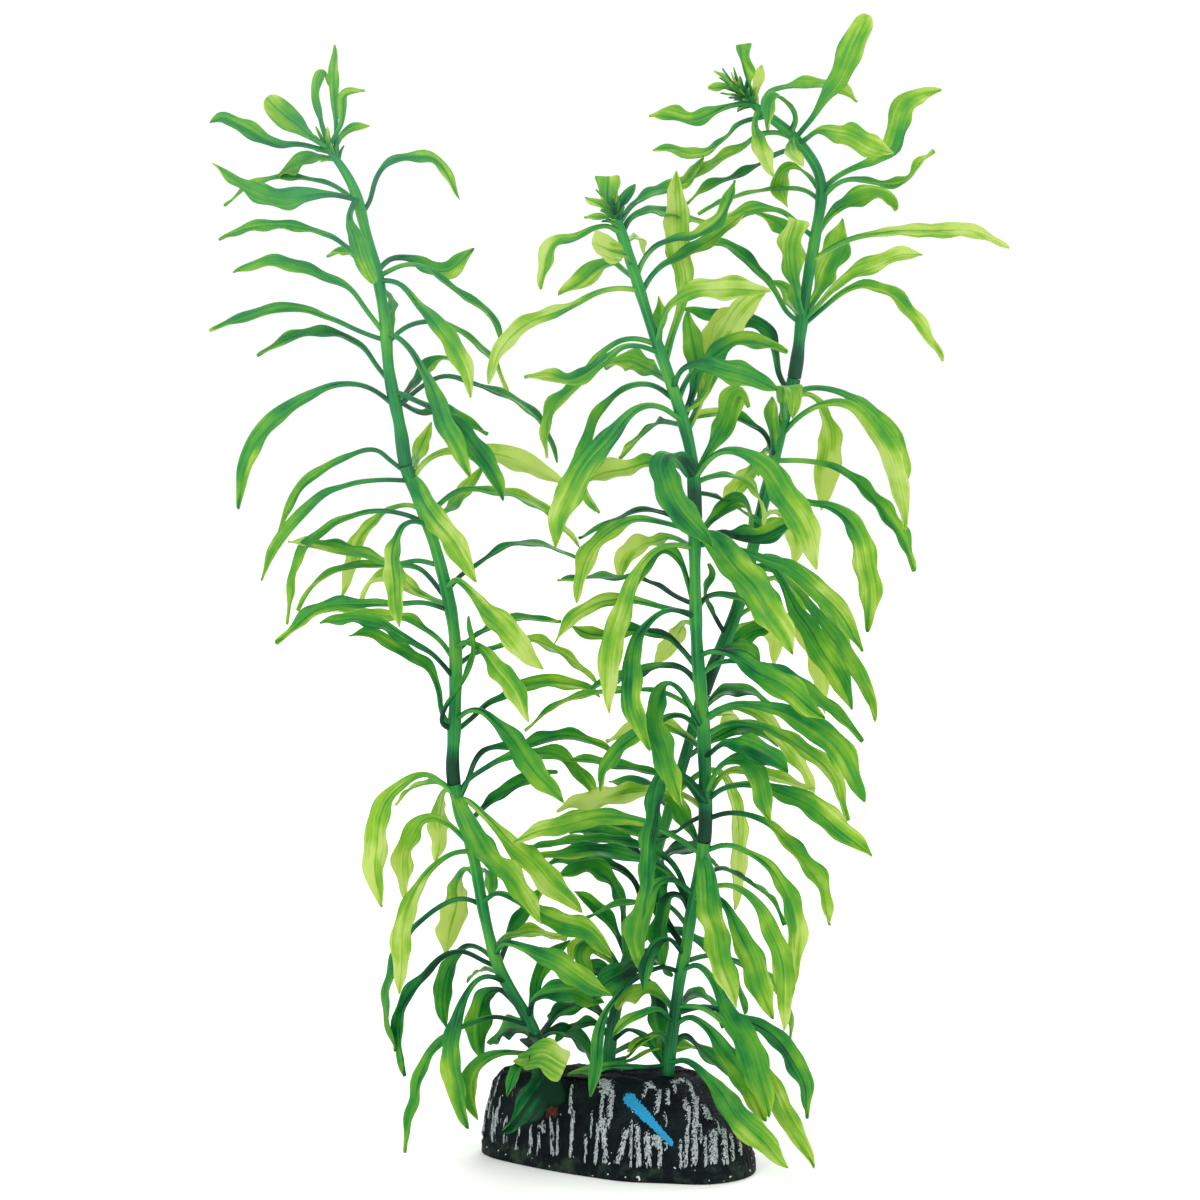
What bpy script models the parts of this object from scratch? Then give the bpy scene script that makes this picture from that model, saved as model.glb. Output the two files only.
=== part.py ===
"""Potted heteranthera: a moulded water plant of three leafy stems standing in a stump-like foot.

The plant's front view sets its form, so places on it are given as seen from an eye in front of it:
millimetres to the right of the foot's middle, millimetres up, and millimetres nearer to that eye.
The origin is the middle of the foot's underside, +Z is up and the front faces -Y.
"""

import math

import bmesh
import bpy
from mathutils import Matrix, Vector

MM = 0.001

# The eye of the front view and the point it looks at, in millimetres.
EYE = Vector((-4.9, -1200.0, 300.0))
AIM = Vector((-4.9, 0.0, 165.3))

# Stems.
STEM_RADIUS = 2.0
SLEEVE_RADIUS = 2.6
SLEEVE_LENGTH = 6.0
SHOULDER_RADIUS = 2.3
SHOULDER_LENGTH = 3.0
TUFT_RADIUS = 1.0
PEG_RADIUS = 1.2
PEG_LENGTH = 4.4
BORE_RADIUS = 1.5
BORE_DEPTH = 4.8
JOINT_GAP = 0.3
STEM_STEP = 12.0

# Leaves.
STALK_HALF_WIDTH = 0.85
KEEL_DEPTH = 1.3
FRAME_STEPS = 60
SHORT_LEAF = ((0.0, 0.0), (0.5, 1.0))
MIDDLE_LEAF = ((0.0, 0.0), (0.3, 0.6), (0.65, 1.0))
LONG_LEAF = ((0.0, 0.0), (0.26, 0.5), (0.52, 1.0), (0.77, 0.75))

# The foot. Its outlines at the rim and at the top are closed rounds of (right, near), left end first.
FOOT_HEIGHT = 26.0
FOOT_RIM = 4.0
FOOT_SIDES = 72
FOOT_LEVELS = (4.0, 5.0, 11.0, 18.0)
FOOT_RIB_DEPTH = 0.7
FOOT_FLARE = 0.75
RIM_OUTLINE = [
    (-40.0, -9.0), (-37.0, -1.0), (-29.0, 7.0), (-19.0, 15.0), (-9.0, 21.5), (2.0, 27.5),
    (13.0, 29.5), (25.0, 31.0), (34.0, 27.0), (39.5, 19.0), (40.5, 8.0), (38.0, -6.0),
    (31.0, -18.0), (17.0, -26.0), (1.0, -29.0), (-14.0, -29.0), (-28.0, -25.0), (-37.0, -18.0),
]
TOP_OUTLINE = [
    (-37.5, -4.0), (-35.0, 1.0), (-28.0, 5.0), (-19.0, 7.5), (-10.0, 9.0), (0.0, 10.0),
    (9.0, 10.5), (17.0, 10.0), (22.0, 8.0), (25.0, 4.0), (25.5, 0.0), (24.0, -4.0),
    (20.0, -7.5), (12.0, -9.5), (1.0, -10.5), (-12.0, -11.0), (-25.0, -10.5), (-34.0, -8.0),
]
STEM_FOOT_RADIUS = 2.2
STEM_FOOT_LENGTH = 8.5
SOCKET_GAP = 0.35

# Each stem's middle line from the foot to the tip, as (right, up, near).
STEMS = {
    "left": [
        (-21.6, 30.6, -4.0), (-22.8, 35.6, -4.6), (-24.6, 41.6, -5.4), (-28.6, 48.6, -6.4),
        (-33.6, 57.1, -8.0), (-36.3, 65.0, -8.0), (-38.9, 76.3, -7.0), (-41.8, 91.9, -7.0),
        (-47.3, 112.5, -6.0), (-47.2, 127.0, -6.0), (-46.8, 140.0, -6.0), (-46.9, 153.0, -5.0),
        (-49.0, 166.5, -5.0), (-54.0, 185.0, -5.0), (-60.8, 203.0, -5.0), (-62.8, 215.0, -5.0),
        (-66.0, 231.0, -5.0), (-67.2, 245.0, -5.0), (-69.5, 260.0, -5.0), (-72.8, 272.0, -5.0),
        (-76.0, 284.0, -5.0), (-80.5, 292.0, -4.0), (-85.0, 297.5, -4.0),
    ],
    "front": [
        (14.9, 28.8, 5.0), (15.5, 35.0, 5.6), (16.6, 43.0, 6.4), (18.3, 56.0, 8.0),
        (20.2, 65.3, 9.0), (21.6, 75.0, 10.0), (25.3, 94.8, 11.0), (25.6, 109.6, 11.0),
        (25.0, 130.0, 12.0), (23.2, 152.5, 12.0), (22.6, 176.0, 12.0), (22.6, 193.0, 13.0),
        (21.3, 208.8, 13.0), (16.5, 225.9, 13.0), (10.6, 242.7, 12.0), (4.8, 261.0, 12.0),
        (1.4, 271.5, 12.0), (-1.9, 280.5, 12.0),
    ],
    "back": [
        (-2.4, 30.8, -4.0), (-1.9, 37.0, -5.2), (-0.6, 45.0, -7.0), (2.7, 59.5, -10.0),
        (9.5, 85.0, -13.0), (17.5, 112.0, -14.0), (26.1, 141.0, -15.0), (35.0, 163.1, -15.0),
        (42.6, 193.9, -15.0), (47.2, 213.0, -14.0), (51.5, 230.2, -14.0), (53.2, 243.0, -14.0),
        (55.0, 256.0, -14.0), (57.6, 271.0, -14.0), (59.4, 284.0, -14.0), (57.0, 292.5, -14.0),
        (49.0, 301.9, -13.0), (40.5, 308.0, -13.0), (35.0, 313.5, -12.0),
    ],
}

# Where each spray of a stem begins and ends, as heights on the middle line.
SPRAYS = {
    "left": {"lower": (None, 111.8), "middle": (111.8, 204.0), "top": (204.0, None)},
    "front": {"lower": (None, 95.0), "middle": (95.0, 188.5), "top": (188.5, None)},
    "back": {"lower": (None, 138.0), "middle": (138.0, 229.5), "top": (229.5, None)},
}

# Each spray's leaves. A leaf is told by the height on the stem that it grows from, its further points to
# its tip as (right, up), how much nearer its tip is than its stem, its full width, and its roll: how many
# degrees its upper face is turned towards the front.
LEAVES = {
    "left_top": [
        (293, [(-81.5, 305), (-82.2, 317), (-82, 326.5)], 2, 5, 20),
        (295, [(-86.3, 306), (-87.2, 314), (-85.5, 319.5), (-83.3, 314.5)], -9, 5, 30),
        (296.5, [(-90, 300.5), (-96, 305.5), (-102.5, 311.8)], 12, 8.5, 60),
        (295, [(-91, 297.3), (-100, 298), (-108, 302.3), (-114, 305.5), (-118.3, 303.8)], -3, 7, 28),
        (281, [(-82, 283.2), (-90, 283.8), (-100, 282.6), (-108, 286), (-117.5, 292)], 6, 8, 52),
        (280, [(-82, 285.5), (-90, 287.6), (-100, 287.8), (-107, 285.5), (-114, 279.5)], -16, 7, 30),
        (277, [(-71.6, 281), (-69.8, 287.5), (-66, 292.5), (-60, 294), (-52, 292.6), (-45.3, 281.5)],
         -10, 7, 20),
        (282, [(-77.5, 276), (-75, 268), (-70.5, 257)], 26, 7.5, 10),
        (262, [(-76, 266), (-83, 270.8), (-91, 273.3), (-101, 274), (-109, 272.8), (-115.5, 269.5)],
         4, 7.5, 18),
        (260.5, [(-65.5, 264.2), (-60, 264.2), (-54, 261.5), (-48, 261.5), (-41.2, 267.3)], -16, 7, 30),
        (259, [(-62, 262.5), (-56, 262), (-49.5, 257.5), (-42, 251.8), (-36.5, 248), (-33, 239.8)],
         -4, 7.5, 25),
        (258, [(-63, 257), (-57, 250.5), (-51, 243.5), (-46, 234), (-42.4, 223.8)], 18, 8.5, 52),
        (242, [(-72, 248.5), (-78, 256), (-87, 260.3), (-96, 263), (-104, 263.2), (-111.5, 260.2)],
         8, 7.5, 24),
        (240.5, [(-74, 243), (-83, 247), (-91, 249.6), (-99, 249.8), (-108, 247.3), (-118.3, 243.3)],
         -2, 7, 16),
        (228, [(-69.5, 233), (-74, 239), (-81, 242.6), (-89, 243), (-97, 240.7), (-104.3, 235.8)],
         -9, 7, 20),
        (242.5, [(-63.5, 241.5), (-58.5, 236), (-53, 225), (-48, 213), (-41.8, 200.2)], 22, 8.5, 55),
        (239.5, [(-62, 244), (-56, 246), (-48, 244.8), (-41, 240), (-37, 234), (-34.5, 229.5),
                 (-31, 218.5)], -11, 7.5, 30),
        (221.5, [(-70, 226), (-76, 228), (-84, 227), (-93, 222.5), (-101, 216), (-106.5, 208), (-110, 191.5)],
         4, 8, 42),
        (221, [(-57, 227), (-50, 230.4), (-42, 228.3), (-34, 225.5), (-27, 222), (-21.5, 216.5),
               (-17, 205)], -2, 7.5, 25),
        (226, [(-62.5, 225), (-58, 222.5), (-52.5, 217), (-45.5, 208.5), (-38.5, 202), (-32.8, 194)],
         12, 9, 55),
    ],
    "left_middle": [
        (198, [(-66, 205), (-70, 209), (-77, 207.5), (-85, 203), (-92, 198), (-98.4, 184)], -6, 7, 18),
        (199.5, [(-67, 201.5), (-75, 200.8), (-84, 198), (-93, 190), (-99, 181), (-103.3, 170.8)],
         7, 7, 22),
        (201, [(-59.5, 200), (-55.5, 191.5), (-51, 183), (-46.5, 177), (-40.3, 170.5)], 24, 9, 55),
        (199.5, [(-55.5, 205.5), (-49.5, 208.4), (-41, 208), (-31, 206.5), (-23.5, 203.8), (-15.9, 198.8)],
         -9, 9.5, 62),
        (187.5, [(-61, 190), (-68, 191.2), (-76, 190), (-84, 186.3), (-90.5, 181), (-94, 172), (-95.6, 158)],
         -8, 7.5, 24),
        (191, [(-60.5, 193), (-66, 191.6), (-71, 188), (-75.5, 181), (-79.5, 166)], -26, 7, 25),
        (187, [(-59.3, 188.2), (-63, 185.5), (-65, 178), (-64.5, 169), (-62.9, 157.3)], 30, 8, 15),
        (189, [(-51.5, 193), (-46, 197), (-38, 197.3), (-30, 196), (-21, 191.8), (-10.5, 180.5)],
         -16, 8.5, 38),
        (175.5, [(-58, 176.8), (-65, 175.6), (-73, 178.6), (-83, 181), (-95.5, 182.3)], -8, 8, 34),
        (164.5, [(-54, 171.5), (-58, 174.8), (-66, 175.4), (-75, 175.4), (-83, 173.3), (-89, 169),
                 (-92.7, 162)], -20, 7.5, 26),
        (162.5, [(-56, 164.6), (-64, 164), (-73, 164.4), (-82, 163.8), (-90, 160.6), (-98.9, 152.3)],
         2, 8, 36),
        (147, [(-50.8, 153), (-55.5, 156.8), (-61, 160.2), (-68, 160.8), (-75, 162), (-83, 162.3)],
         -17, 7.5, 34),
        (142, [(-50.3, 146.4), (-54, 150), (-60, 153.3), (-67, 157.5), (-74, 160), (-80, 160.2),
               (-86.3, 158.4)], 10, 8, 40),
        (127, [(-50.8, 132.5), (-51.6, 138.5), (-53.4, 144.5), (-58, 148.4), (-64, 151.5), (-70, 155.8),
                 (-77.8, 154.8)], -9, 7.5, 38),
        (127.5, [(-50.8, 129.6), (-49.6, 134.5), (-45.6, 140.5), (-42.6, 146), (-41.6, 152.5),
                 (-43.2, 160.8)], 13, 5, 35),
        (168.5, [(-47, 171.4), (-43, 168.5), (-38, 163), (-33, 157.8), (-28, 152.2), (-21.3, 145)],
         20, 10, 60),
        (151, [(-44.8, 153), (-40, 151.8), (-36, 147.5), (-32, 142.5), (-28.5, 137), (-25.3, 129.8)],
         27, 9, 60),
        (168, [(-45.3, 172.5), (-40.5, 175.6), (-35, 179.6), (-28, 182), (-20, 181), (-10.8, 177)],
         -14, 7, 18),
        (150, [(-43.3, 153.3), (-39, 156.3), (-33, 159.3), (-26, 160.2), (-16, 159)], -24, 7, 20),
        (146, [(-41, 150), (-34, 151.8), (-27, 154), (-21, 153), (-14.5, 148.8), (-5.5, 141.3)],
         -14, 7.5, 38),
        (126.8, [(-42.3, 130.8), (-37.5, 135.2), (-32, 138), (-26, 140.7), (-18, 141.8), (-10, 140.3),
                 (-4.6, 137)], -17, 8, 40),
        (130, [(-43.5, 133), (-39.5, 133.2), (-35, 130), (-30.5, 125), (-26, 119), (-21.5, 113),
               (-15.4, 106.3)], 18, 9.5, 60),
    ],
    "left_lower": [
        (107.5, [(-50.5, 113), (-55.3, 116.2), (-61, 113.8), (-66, 108.6), (-69, 102), (-70, 95), (-70, 86),
               (-68.5, 76)], 6, 9.5, 62),
        (109.5, [(-50, 110), (-51.6, 105), (-51.5, 98), (-52.6, 89.3)], -26, 8, 55),
        (109, [(-46, 106.5), (-43.2, 100), (-39, 93.5), (-33.5, 87.5), (-28, 81.5), (-22, 71.3)],
         30, 9.5, 20),
        (107.5, [(-43, 107), (-38.5, 102.8), (-33, 97.5), (-27, 91.2), (-20, 84.5), (-10.2, 74.3)],
         18, 9.5, 60),
        (94, [(-46.5, 98.3), (-50, 101), (-54.3, 102.3), (-58.5, 99.8), (-61.3, 94), (-62, 87), (-61.6, 78.3)],
         2, 8.5, 60),
        (92.5, [(-46.5, 92.2), (-50.5, 90.2), (-55, 86), (-59.5, 79), (-61.8, 71), (-63, 62), (-62.8, 50.8)],
         20, 7.5, 50),
        (85.5, [(-43.6, 87.6), (-46, 84.5), (-47, 77.5), (-48, 71), (-50.2, 62.2)], -26, 9.5, 65),
        (76.5, [(-43.3, 78.8), (-48.5, 78), (-54, 74.6), (-60, 69), (-64.8, 61), (-67, 51), (-66.5, 42),
                (-64.2, 34.3)], -2, 7, 30),
        (58.5, [(-39.8, 61.2), (-44.5, 63.5), (-50, 62.3), (-54.5, 57.6), (-59, 52.8), (-62.5, 48),
                (-63.3, 41), (-63, 34), (-61.6, 27)], 0, 7, 38),
        (60.5, [(-39.6, 64.3), (-43.5, 65), (-47, 61.8), (-49.8, 56), (-50.8, 49.5), (-49.2, 41.3)],
         -16, 7.5, 48),
        (54, [(-36.5, 56.3), (-40.5, 55.2), (-44, 50), (-46.8, 43), (-48, 35), (-47.5, 27), (-46, 20),
              (-42.8, 11.8)], 22, 8.5, 35),
        (41.5, [(-30.5, 43.5), (-36, 44.6), (-42, 42.6), (-48, 39.8), (-53.5, 34.8), (-57.2, 27.5),
                (-59, 20), (-60.6, 13), (-61.4, 4.8)], 8, 6.5, 28),
        (44.5, [(-30.5, 49.3), (-34, 52.3), (-38, 51.3), (-40, 46), (-40, 39), (-39.6, 32)], -14, 8.5, 50),
        (33.5, [(-29, 34), (-35.5, 33.6), (-40.5, 31.2), (-43, 25.5), (-42.5, 20), (-40.5, 14.3)],
         15, 7, 50),
        (36, [(-23.4, 37.5), (-20.5, 36), (-17.5, 31.5), (-14.2, 25.6)], 22, 11, -28),
        (40, [(-22.8, 38), (-23.2, 33), (-24.8, 25.5), (-27.8, 17.5), (-33.2, 10.3)], 27, 11.5, 0),
        (77.5, [(-35, 80.4), (-30, 78.8), (-23, 75), (-15, 71.6), (-8, 68.6), (-1.3, 61.8)], 16, 8.5, 60),
        (62, [(-33, 65.8), (-27.5, 64.8), (-21, 62.2), (-14, 58), (-8, 54.2), (-1.5, 50.2)], 20, 9.5, 60),
        (63, [(-33, 67), (-29, 68.2), (-24, 69), (-19, 68.2), (-14.5, 66.8)], -20, 7.5, 35),
        (40, [(-25, 46), (-23.8, 52.5), (-21.5, 58.5), (-17.5, 63.5), (-13.5, 67)], -20, 6, 25),
        (44, [(-24, 49.5), (-18.5, 51.8), (-11.5, 51.4), (-3.5, 48.8)], 8, 8.5, 50),
        (97, [(-42.5, 101), (-38.8, 104.8), (-34.3, 108.8), (-29, 112.2), (-23, 114.6), (-17, 115.2)],
         -20, 7, 36),
        (106.5, [(-43, 113.5), (-41, 119), (-37, 122.6), (-30.5, 122.3), (-25, 123.9), (-17, 126),
                 (-8, 124.8), (-1, 121.3)], -11, 8, 30),
        (107, [(-43.8, 112.6), (-38, 116.6), (-31.5, 120), (-24.5, 121), (-17, 120.4), (-11, 115.5),
               (-7.4, 110), (-4.7, 103.8)], -2, 8, 36),
    ],
    "front_top": [
        (277, [(-2.6, 282), (-3, 288.3)], 3, 6.5, 0),
        (271, [(-2.5, 273.8), (-7.5, 272.8), (-12, 270.4), (-17, 269.8), (-20.8, 264.5), (-22.2, 255.3)],
         8, 7, 34),
        (262.5, [(2, 266.3), (-2.5, 268.2), (-7.8, 268)], 26, 9, 42),
        (257.5, [(2.2, 260.8), (-1.5, 264), (-5, 263.2), (-9.5, 260.6), (-16.9, 253.6)], -22, 8, 38),
        (254.5, [(2, 255.7), (-4.5, 254.9), (-12, 251.2), (-20, 248), (-27.5, 244.8), (-33.5, 238.8),
                 (-37.4, 227.8)], 4, 8.5, 38),
        (271.5, [(4, 276), (9, 278.3), (15, 277.6), (21, 276), (28, 274)], -22, 8.5, 38),
        (274, [(4.2, 279.6), (9, 283), (15, 285.2), (20, 287), (25.5, 293.6)], -30, 6, 40),
        (258, [(7.3, 263.2), (11, 267.8), (17, 270.2), (23.5, 271.2), (28.8, 275), (32, 280.5), (34.3, 287.2)],
         -9, 7, 34),
        (253.5, [(10.2, 259.5), (15, 263.6), (21, 266.2), (26.5, 269.8), (32, 274.2), (37.5, 277.8)],
         -15, 7.5, 36),
        (239.5, [(12.8, 245), (15.2, 250.5), (19.5, 254.3), (25.5, 255.8), (32.5, 257.2), (38.5, 256.8),
                 (44.6, 254.4)], 12, 9, 55),
        (234, [(16.2, 243), (18.6, 250), (19.3, 258), (17.8, 268), (17, 279), (17.5, 290)], -17, 9.5, 20),
        (217.5, [(22.2, 226), (22.6, 233), (22, 240), (20.3, 249.5)], -16, 8, 20),
        (219.5, [(24.5, 223.5), (27.3, 229.5), (29.5, 238), (33.5, 246), (38, 251), (44, 255)], -26, 10, 62),
        (214, [(23.8, 222), (25, 231), (26.8, 239.5), (30.5, 246.5), (38.5, 249.5)], -28, 9.5, 55),
        (226.5, [(18.3, 232), (22.5, 234.6), (29, 234.4), (35, 233), (41, 229.8), (46.6, 226.3)], 18, 9.5, 42),
        (222.5, [(20.6, 229.5), (26.5, 235.5), (33, 239.8), (41, 240.4), (49.6, 237)], -9, 9, 38),
        (237, [(6.5, 239), (1, 238.4), (-4, 234.4), (-9, 230.6), (-14.5, 229), (-20.5, 231), (-26.9, 229.6)],
         9, 7.5, 36),
        (239.3, [(6.5, 241), (1, 240.6), (-4.5, 236.6), (-9.5, 231), (-14.5, 225.8), (-19.3, 220.5),
                 (-21, 213.5), (-20.4, 206.3)], -8, 8.5, 44),
        (222.5, [(11, 227.5), (4.5, 227.6), (-1.5, 224), (-6, 218), (-9.3, 210.5), (-10.5, 202), (-9, 196),
                 (-5.3, 190.2)], -7, 8, 40),
        (217, [(13.5, 221), (8, 221.7), (3, 218.6), (-2.5, 212.5), (-8.5, 205), (-13.5, 197.5), (-16.8, 189),
               (-18, 180.3)], 17, 10, 62),
        (202.5, [(15.5, 204.8), (9, 204.9), (2, 203.6), (-4.5, 202.2), (-10, 198.6)], -12, 9.5, 52),
        (200.5, [(19, 206), (15.2, 207.8), (12.8, 204.2), (13.6, 197.8), (17, 191.5), (21.5, 186),
                 (28, 180.3)], 30, 10, 32),
        (199, [(27, 201), (32.5, 201.5), (38, 199.6), (41.8, 194), (42.8, 186.8)], -10, 8, 32),
        (200, [(25.8, 205), (30, 208.3), (36, 208.3), (42, 204.8), (47.5, 198.2), (52, 190.6), (56, 182.3),
               (58, 174)], 14, 11, 62),
        (199.5, [(25.3, 206), (28.6, 211), (31.4, 217.3), (33.2, 222.8), (35.6, 225.6), (38.3, 221)],
         -14, 9, 45),
    ],
    "front_middle": [
        (181.5, [(26.5, 187.5), (31, 192.3), (35.8, 194), (38.8, 190.5), (38.6, 184.6)], -16, 8.5, 35),
        (184.5, [(16.5, 187), (9.5, 188.5), (3.5, 188.4), (-2.5, 185.2), (-7.3, 180.3), (-10.3, 173),
                 (-12, 164.3)], 8, 8, 42),
        (182, [(17.3, 188.8), (11, 191.3), (4, 190.8), (-3, 187.6), (-11.3, 183.2)], -16, 6.5, 18),
        (179.5, [(17, 183.3), (11, 183), (5.5, 180.6), (1.7, 176.8), (0.3, 171)], -26, 9, 45),
        (179.8, [(16, 181.4), (11, 179.7), (6.5, 174.5), (3, 167), (0.2, 158.5), (-1.8, 149.5), (-2.8, 141),
                 (-1.8, 132.3)], 20, 8.5, 55),
        (161, [(20.6, 170), (18.2, 177), (14, 180), (9.5, 177), (5.5, 170), (2.6, 162)], -6, 6.5, 40),
        (163.5, [(16.5, 166.7), (11.5, 170), (5, 171.8), (-2, 172.2), (-9, 172), (-17.4, 171)], -12, 7, 14),
        (161, [(15, 162.8), (8.5, 164.4), (1.5, 165.6), (-5, 165), (-10.5, 161.8), (-15, 157.6),
               (-18.4, 152.8)], -7, 8, 40),
        (160, [(16.5, 162.6), (11.5, 160.8), (7.2, 156), (4.8, 150), (4.2, 143), (4.6, 135.5), (6.3, 129),
               (9.6, 121.4)], 22, 8, 38),
        (145, [(18.8, 151), (14.5, 154.8), (9, 156.3), (2.5, 156.4), (-4, 155), (-9, 156), (-14.2, 158.4)],
         -15, 8, 40),
        (140, [(19.8, 145), (14.5, 146.3), (7.5, 144.9), (0, 142.8), (-6, 140.3), (-10.5, 137.8)], -20, 9, 38),
        (131.5, [(17, 137.2), (9, 139.4), (0, 139), (-8, 138.2), (-15, 136.3), (-21, 132.6), (-26.9, 127.3)],
         -13, 6.5, 20),
        (127.5, [(21.8, 132.5), (18.6, 138), (14.6, 140.6), (11.6, 137), (11.4, 130), (13.2, 122), (16.2, 113.5),
                 (19.5, 105.2)], 22, 10, 40),
        (125.5, [(21, 130.6), (17, 132), (11, 129.6), (5, 125.4), (0, 121.6), (-3.6, 116.6), (-4.9, 109.6)],
         -6, 8, 48),
        (122, [(18.5, 127), (11.5, 129.6), (4.5, 127.8), (-3.2, 124)], -24, 8.5, 45),
        (110, [(18.5, 113.6), (10.5, 115.3), (3, 117), (-4, 118.4), (-10, 119), (-15.7, 118.2)], -18, 7, 22),
        (104.5, [(20, 108.4), (13, 110.3), (5.5, 109.6), (-3, 108), (-10.5, 107), (-17.7, 103.7)],
         -16, 10, 52),
        (105.5, [(21.5, 111.5), (16.8, 115.6), (12.6, 114), (10.8, 107), (9.6, 98), (8.8, 88), (7.3, 72)],
         17, 10.5, 15),
        (149, [(27.5, 150.4), (33, 149.6), (39, 145.8), (46, 141.6), (53, 136.6), (60.5, 130.8)], 24, 10, 52),
        (130.5, [(28.8, 133.2), (34.5, 135.2), (41.5, 134.6), (49, 132.6), (56, 129), (62, 124.3),
                 (67.5, 117), (71.5, 106.3)], 14, 10, 58),
        (143.5, [(30, 147.4), (38, 147.2), (46.5, 145), (53, 141), (59, 136), (65, 131), (71.5, 124.2)],
         -6, 8, 40),
        (161.5, [(26, 166.2), (32, 166.9), (38.5, 164.3), (45, 160), (51.5, 155.6)], -11, 8, 45),
        (184.5, [(27, 183.6), (31.5, 179), (36.5, 173), (41.5, 166.5), (46.3, 159.5), (51, 149.3)],
         29, 11.5, 55),
        (180.5, [(29, 181.6), (36, 179.6), (43, 177), (50, 174.4), (57, 169.4), (63.5, 163), (71.6, 150.3)],
         -4, 9.5, 58),
        (182.5, [(29.5, 184.6), (36, 183.8), (42, 184.4), (47.5, 186.8), (52.6, 188.4)], -14, 9, 50),
        (120, [(30.5, 123.4), (36, 123.5), (41.3, 121.9), (46, 118.6), (49.4, 114.8)], 22, 9, 48),
        (108.5, [(28.8, 115.5), (33.5, 119.4), (38.5, 117.6), (41.6, 111), (44.4, 100.5)], 14, 8, 50),
        (107.5, [(30.5, 114.4), (36.5, 116.2), (42.5, 115), (49, 113.2), (57.6, 110.2)], -15, 7.5, 42),
        (107, [(31, 110.8), (38.5, 111.8), (46, 110.2), (53, 107.4), (60, 102.8), (67, 97), (74, 90.6)],
         12, 9.5, 50),
        (126, [(33, 129.8), (42, 128.6), (51, 124.3), (58, 119.3), (63.5, 113), (66.8, 101)], -9, 8.5, 50),
        (101.5, [(32, 103.6), (39.5, 102.6), (46, 98.8), (51.5, 93.2), (56.5, 87.3), (60.2, 80.3),
                 (61.9, 70.8)], 4, 8, 42),
    ],
    "front_lower": [
        (91, [(20.5, 94.6), (14, 98), (6.5, 101.3), (-3, 102.2), (-12, 101.3), (-21, 98.8), (-30.2, 95)],
         -2, 9, 48),
        (91.5, [(22.4, 97), (19.6, 102), (16.5, 107.3), (11, 110)], -20, 7, 35),
        (92, [(31.5, 94.4), (38, 92.2), (44.3, 88), (49.2, 81.5), (51.6, 73), (52.2, 64), (51, 54)],
         6, 8.5, 52),
        (78.5, [(28, 82.2), (34, 82.3), (39.5, 78.6), (43.8, 72), (46.6, 63), (48.3, 52), (47.8, 40)],
         18, 8, 50),
        (90.5, [(25.7, 87), (26.3, 80), (27.6, 72), (29.8, 63), (32.2, 54.5), (34.6, 46.8)], 34, 9.5, 0),
        (79, [(28.3, 79.4), (32.8, 74.8), (36.2, 67.5), (39.2, 60), (42.2, 52.3), (45, 43.4)], 22, 9.5, 45),
        (57.5, [(23.3, 59.6), (27.4, 55.6), (31, 48.6), (35.3, 41), (39.2, 33), (42, 24.5), (43.9, 15)],
         22, 10.5, 50),
        (42, [(21, 44.4), (26, 41.4), (31, 35.2), (35.8, 28.4), (39.8, 21.8), (43.4, 14)], 13, 10, 50),
        (31, [(20, 31.8), (25.2, 28), (30.5, 21.6), (36, 14.8), (42, 8.4), (50, 0.8)], 30, 10, 45),
        (47.5, [(24.5, 47.2), (31.5, 42.2), (37.8, 35), (43, 27), (47.8, 18.3), (52.4, 9.8), (57.4, 0.4)],
         18, 8, 45),
        (45.5, [(25, 47.4), (34, 45), (41.5, 41.4), (47.8, 37), (52.2, 30.3), (54.9, 22.6), (55.3, 14.8)],
         0, 9, 50),
        (60, [(27, 62.3), (35, 60.3), (42.5, 56.9), (47.8, 51), (50.4, 43), (50.2, 35)], -17, 7.5, 42),
        (57, [(13.4, 59), (7.3, 56.4), (1.5, 52), (-3, 46.3), (-5.3, 38.6), (-6.2, 30), (-7.4, 21)],
         19, 7.5, 30),
        (46, [(13, 50.4), (8, 52), (3.5, 51), (0, 46.6)], -8, 7.5, 40),
        (73.5, [(19.6, 82), (16.3, 88.6), (10.5, 93), (2.5, 95), (-6.5, 95.7), (-15.5, 95.2), (-25.6, 93.3)],
         -16, 8, 26),
        (74.5, [(17.5, 83.3), (11, 89), (2.5, 91.3), (-6.5, 92.7), (-15, 91.8), (-23.7, 90.8)], -8, 8.5, 36),
        (71, [(15.5, 76.3), (8.5, 77.9), (1.3, 77.2), (-4, 75.7), (-8.9, 73.2)], -8, 6, 15),
    ],
    "back_middle": [
        (224.5, [(47, 230.5), (46, 237), (44.5, 242), (40, 245.4), (33.5, 246.8), (26.5, 247.8), (19.4, 249.6)],
         -16, 8.5, 38),
        (224.5, [(56, 226.8), (62.5, 226.2), (69, 223.2), (75, 218.8), (79.8, 212.6), (83, 204.5), (82.8, 194.5)],
         -8, 9.5, 52),
        (212, [(51.2, 217), (56, 220.6), (62, 222.5), (68.5, 221.3), (74.3, 215.5), (78.8, 207.5), (82, 198),
               (83.3, 185.3)], 6, 9, 52),
        (222.5, [(54.5, 225.3), (58.8, 222.8), (61.3, 217), (61.6, 208.5), (60.6, 200), (58.8, 191.3)],
         -18, 10.5, 62),
        (205, [(54, 205.7), (61, 204.5), (68, 201.2), (74, 195.5), (79, 189), (83.6, 182.4), (86, 173.3)],
         2, 8.5, 40),
        (196, [(50, 195.4), (56.8, 193.2), (63, 192.6), (68.3, 187.5), (71.4, 180), (73.2, 169.5),
               (72.9, 155.8)], 10, 9.5, 58),
        (217, [(48.4, 224.3), (49.6, 227.8), (51.2, 224.5), (51.2, 217.8)], 36, 8, 0),
        (206, [(43, 213.3), (37.5, 217.2), (31.5, 219.5), (26, 219.2), (21.4, 217.8)], -6, 8, 30),
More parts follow.
